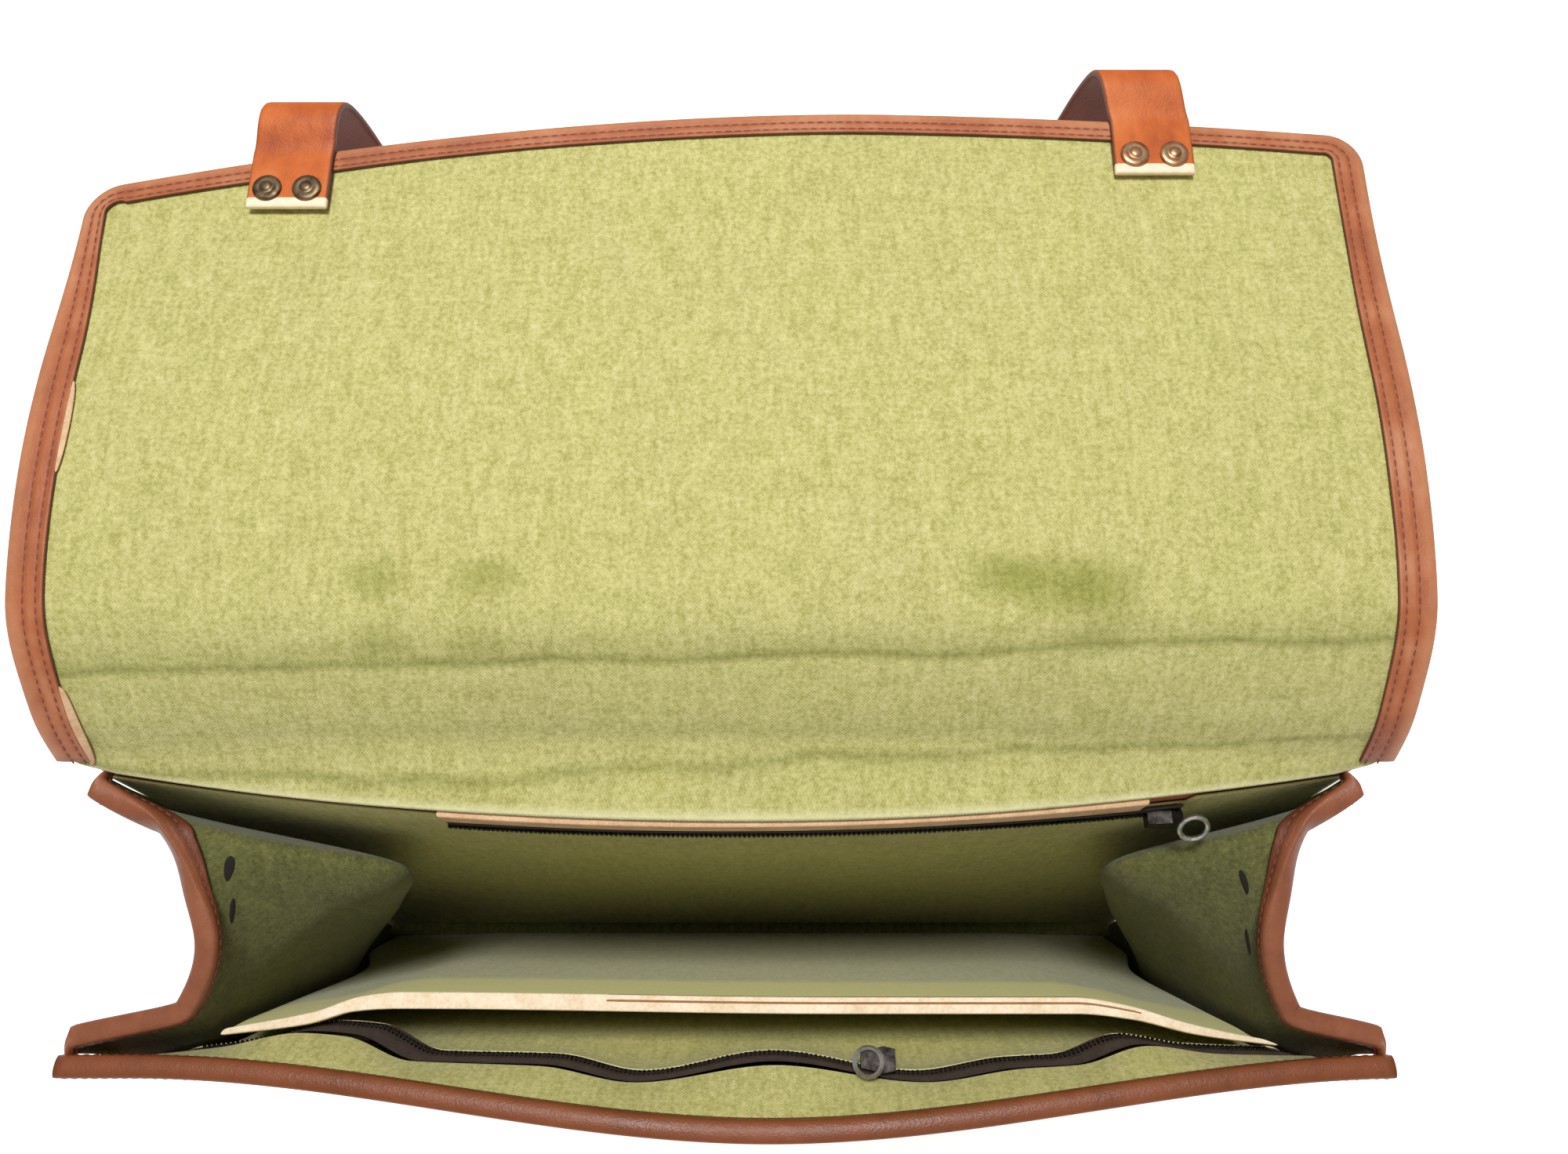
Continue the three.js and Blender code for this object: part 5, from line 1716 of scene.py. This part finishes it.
@dataclass
class BackPocket:
    """The lip, tape and teeth of the zip along the top of the back."""

    form: BagForm
    lip_to: float = 130 * MM
    lip_thickness: float = 2.2 * MM
    tape_width: float = 11 * MM

    def build(self, wardrobe: Wardrobe) -> None:
        """Make the pocket's pieces."""
        f = self.form
        foot = f.back_height - f.back_lip_height

        def lip(x: Array, z: Array, depth: Array) -> Array:
            """Place on the lip."""
            return f.back(x, z, f.leather + f.clearance + depth)

        def tape(x: Array, z: Array, depth: Array) -> Array:
            """Place on the tape."""
            return f.back(x, z, f.lining_face + f.clearance + depth)

        strip = MeshMaker.sheet(
            "back_lip",
            lip,
            rimmed(spread(f.back_zip_from, self.lip_to, 90), 0.5 * MM),
            rimmed(spread(foot, f.back_height, 8), 0.5 * MM),
            (0, self.lip_thickness),
        )
        wardrobe.dress(strip, Finish.RAW, "back_pocket_lip")
        top = foot - f.clearance
        band = MeshMaker.sheet(
            "back_zip_band",
            tape,
            rimmed(spread(f.back_zip_from, f.back_zip_to, 90), 0.5 * MM),
            rimmed(spread(top - self.tape_width, top, 8), 0.5 * MM),
            (0, 1 * MM),
        )
        wardrobe.dress(band, Finish.TAPE, "back_zip_tape")
        teeth = RepeatedRun(RunKind.TOOTH, 1.5 * MM, 0.9 * MM, 1.0 * MM, 2.8 * MM, seed=5)
        x = spread(f.back_zip_from, f.back_zip_to, 100)
        teeth.add(tape(x, np.full_like(x, top - self.tape_width / 2), np.full_like(x, 1.3 * MM)))
        wardrobe.dress(teeth.make("back_zip_teeth", wardrobe.material(Finish.DARK_METAL)), Finish.DARK_METAL)


@dataclass
class ClosureStraps:
    """The two closure straps and their rivets."""

    form: BagForm
    width: float = 25.5 * MM
    thickness: float = 2.3 * MM
    length: float = 214 * MM
    lap: float = 20 * MM
    rivet_diameter: float = 9.2 * MM
    rivet_height: float = 1.6 * MM
    rivet_spacing: float = 12.6 * MM
    rivet_set: float = 13.5 * MM
    places: tuple[tuple[str, float, float], ...] = (
        ("left", -140 * MM, 14 * MM),
        ("right", 137 * MM, -21 * MM),
    )

    def build(self, wardrobe: Wardrobe) -> None:
        """Make the straps and rivets."""
        f = self.form
        path = TiltPath(f.STRAP_TILT, self.length - self.lap)
        top = -2 * f.clearance - f.canvas - f.binding_leather - 2 * f.clearance
        for name, x, lean in self.places:
            end = float(f.flap_end(np.array(x)))
            start = f.flap(np.array(x), np.array(end), np.array(top))

            def surface(
                side: Array, distance: Array, offset: Array, x: float = x, lean: float = lean,
                end: float = end, start: Array = start,
            ) -> Array:
                """Place on a strap, from its riveted end round to its tip."""
                shift = lean * np.clip((distance - self.lap) / (self.length * 0.4), 0, 1)
                across = x + side * self.width * 0.5 + shift
                lapped = f.flap(across, end - self.lap + np.minimum(distance, self.lap), top - offset)
                run, rise, tilt = path.at(np.maximum(distance - self.lap, 0))
                level = f.flap(across, end, top)[..., 2] - start[2]
                free = places_of(
                    across,
                    start[1] + run - offset * np.sin(tilt),
                    start[2] + level + rise + offset * np.cos(tilt),
                )
                return np.where((distance <= self.lap)[..., None] & np.ones(free.shape, bool), lapped, free)

            sides = rimmed(spread(-1, 1, 14), 0.09)
            distances = rimmed(spread(0, self.length, 170), 1.2 * MM)
            strap = MeshMaker.sheet(
                f"strap_{name}", surface, sides, distances, (self.thickness, 0), (self.width / 2, 1.0)
            )
            wardrobe.dress(strap, Finish.STRAP, f"closure_strap_{name}")
            self._rivets(wardrobe, name, x, end, top)

    def _rivets(self, wardrobe: Wardrobe, name: str, x: float, end: float, top: float) -> None:
        """Make one strap's two rivets."""
        f = self.form
        radius = self.rivet_diameter / 2
        height = self.rivet_height
        profile = [
            (radius * 0.93, 0.0),
            (radius, height * 0.16),
            (radius * 0.97, height * 0.34),
            (radius * 0.84, height * 0.5),
            (radius * 0.62, height * 0.62),
            (radius * 0.5, height * 0.5),
            (radius * 0.42, height * 0.56),
            (radius * 0.34, height * 0.86),
            (radius * 0.2, height),
        ]
        for label, side in (("outer", -1), ("inner", 1)):
            rx = np.array(x + side * self.rivet_spacing / 2)
            up = np.array(end - self.rivet_set)
            seat = top - self.thickness - f.clearance
            at = f.flap(rx, up, np.array(seat))
            facing = Vector(f.flap(rx, up, np.array(seat - 1 * MM)) - at).normalized()
            turn = facing.to_track_quat("Z", "Y").to_matrix().to_4x4()
            place = Matrix.Translation(Vector(at)) @ turn
            rivet = MeshMaker.turned(f"rivet_{name}_{label}", profile, place)
            finish = Finish.OLD_RIVET if name == "left" else Finish.RIVET
            wardrobe.dress(rivet, finish, f"strap_rivet_{name}_{label}")


@dataclass
class PlainHardware:
    """The solids whose shape is already right: tabs, rings, sliders and buckles."""

    leather_nodes: tuple[str, ...] = ("side_tab_left", "side_tab_right")
    silver_nodes: tuple[str, ...] = (
        "side_ring_left", "side_ring_right", "front_zip_ring", "back_zip_ring",
    )
    dark_nodes: tuple[str, ...] = ("front_zip_slider", "back_zip_slider")
    brass_nodes: tuple[str, ...] = ("buckle_left", "buckle_right")

    def build(self, wardrobe: Wardrobe, nodes: dict[str, bpy.types.Object]) -> None:
        """Give each solid its material."""
        groups = (
            (self.leather_nodes, Finish.SHELL),
            (self.silver_nodes, Finish.SILVER),
            (self.dark_nodes, Finish.DARK_METAL),
            (self.brass_nodes, Finish.OLD_RIVET),
        )
        for names, finish in groups:
            for name in names:
                mesh = nodes[name].data
                mesh.materials.clear()
                mesh.materials.append(wardrobe.material(finish))


@dataclass(frozen=True)
class Studio:
    """The floor, the lights and the camera."""

    camera_at: tuple[float, float, float] = (18 * MM, -63.6 * MM, 621 * MM)
    camera_pitch: float = 63.6
    focal_share: float = 0.71
    floor_size: float = 6.0
    floor_glow: float = 0.8
    world_light: float = 0.27
    aim_at: tuple[float, float, float] = (0.0, 0.1, 0.25)
    lights: tuple[tuple[str, tuple[float, float, float], float, float], ...] = (
        ("key", (-0.04, 0.09, 1.4), 0.25, 11.6),
        ("fill", (0.2, -0.9, 1.2), 1.0, 0.8),
    )

    def build(self) -> None:
        """Make the studio."""
        scene = bpy.context.scene
        scene.view_settings.view_transform = "Standard"
        scene.view_settings.look = "None"
        data = bpy.data.cameras.new("camera")
        data.sensor_fit = "HORIZONTAL"
        data.sensor_width = 36.0
        data.lens = 36.0 * self.focal_share
        data.clip_start = 0.01
        camera = placed("camera", data)
        camera.location = self.camera_at
        camera.rotation_euler = (math.radians(90 - self.camera_pitch), 0, 0)
        scene.camera = camera

        mesh = bpy.data.meshes.new("floor")
        half = self.floor_size / 2
        corners = [(-half, -half, 0), (half, -half, 0), (half, half, 0), (-half, half, 0)]
        mesh.from_pydata(corners, [], [(0, 1, 2, 3)])
        floor = placed("floor", mesh)
        shader = Shader("pale_floor")
        glow = {"Emission_Color": (1.0, 1.0, 1.0, 1.0), "Emission_Strength": self.floor_glow}
        mesh.materials.append(shader.finish((0.9, 0.9, 0.9), 0.9, None, **glow))

        world = bpy.data.worlds.new("studio")
        world.use_nodes = True
        sky = world.node_tree.nodes["Background"].inputs
        sky["Color"].default_value = (1.0, 1.0, 1.0, 1.0)
        sky["Strength"].default_value = self.world_light
        scene.world = world
        for light in self.lights:
            self._area(*light)

    def _area(self, name: str, at: tuple[float, float, float], size: float, power: float) -> None:
        """Add a soft square light that faces the bag."""
        data = bpy.data.lights.new(name, "AREA")
        data.size = size
        data.energy = power
        light = placed(name, data)
        light.location = at
        aim = Vector(self.aim_at) - Vector(at)
        light.rotation_euler = aim.to_track_quat("-Z", "Y").to_euler()


def main() -> None:
    """Build the bag around its frame."""
    logging.basicConfig(level=logging.INFO, format="%(name)s: %(message)s")
    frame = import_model()
    Studio().build()
    form = BagForm()
    wardrobe = Wardrobe()
    parts = (
        Shell(form), Linings(form), Flap(form), MouthBindings(form), FrontPocket(form),
        Divider(form), BackPocket(form), ClosureStraps(form),
    )
    for part in parts:
        part.build(wardrobe)
    PlainHardware().build(wardrobe, frame["nodes"])
    LOG.info("%d pieces dressed", wardrobe.dressed)


if __name__ == "__main__":
    main()
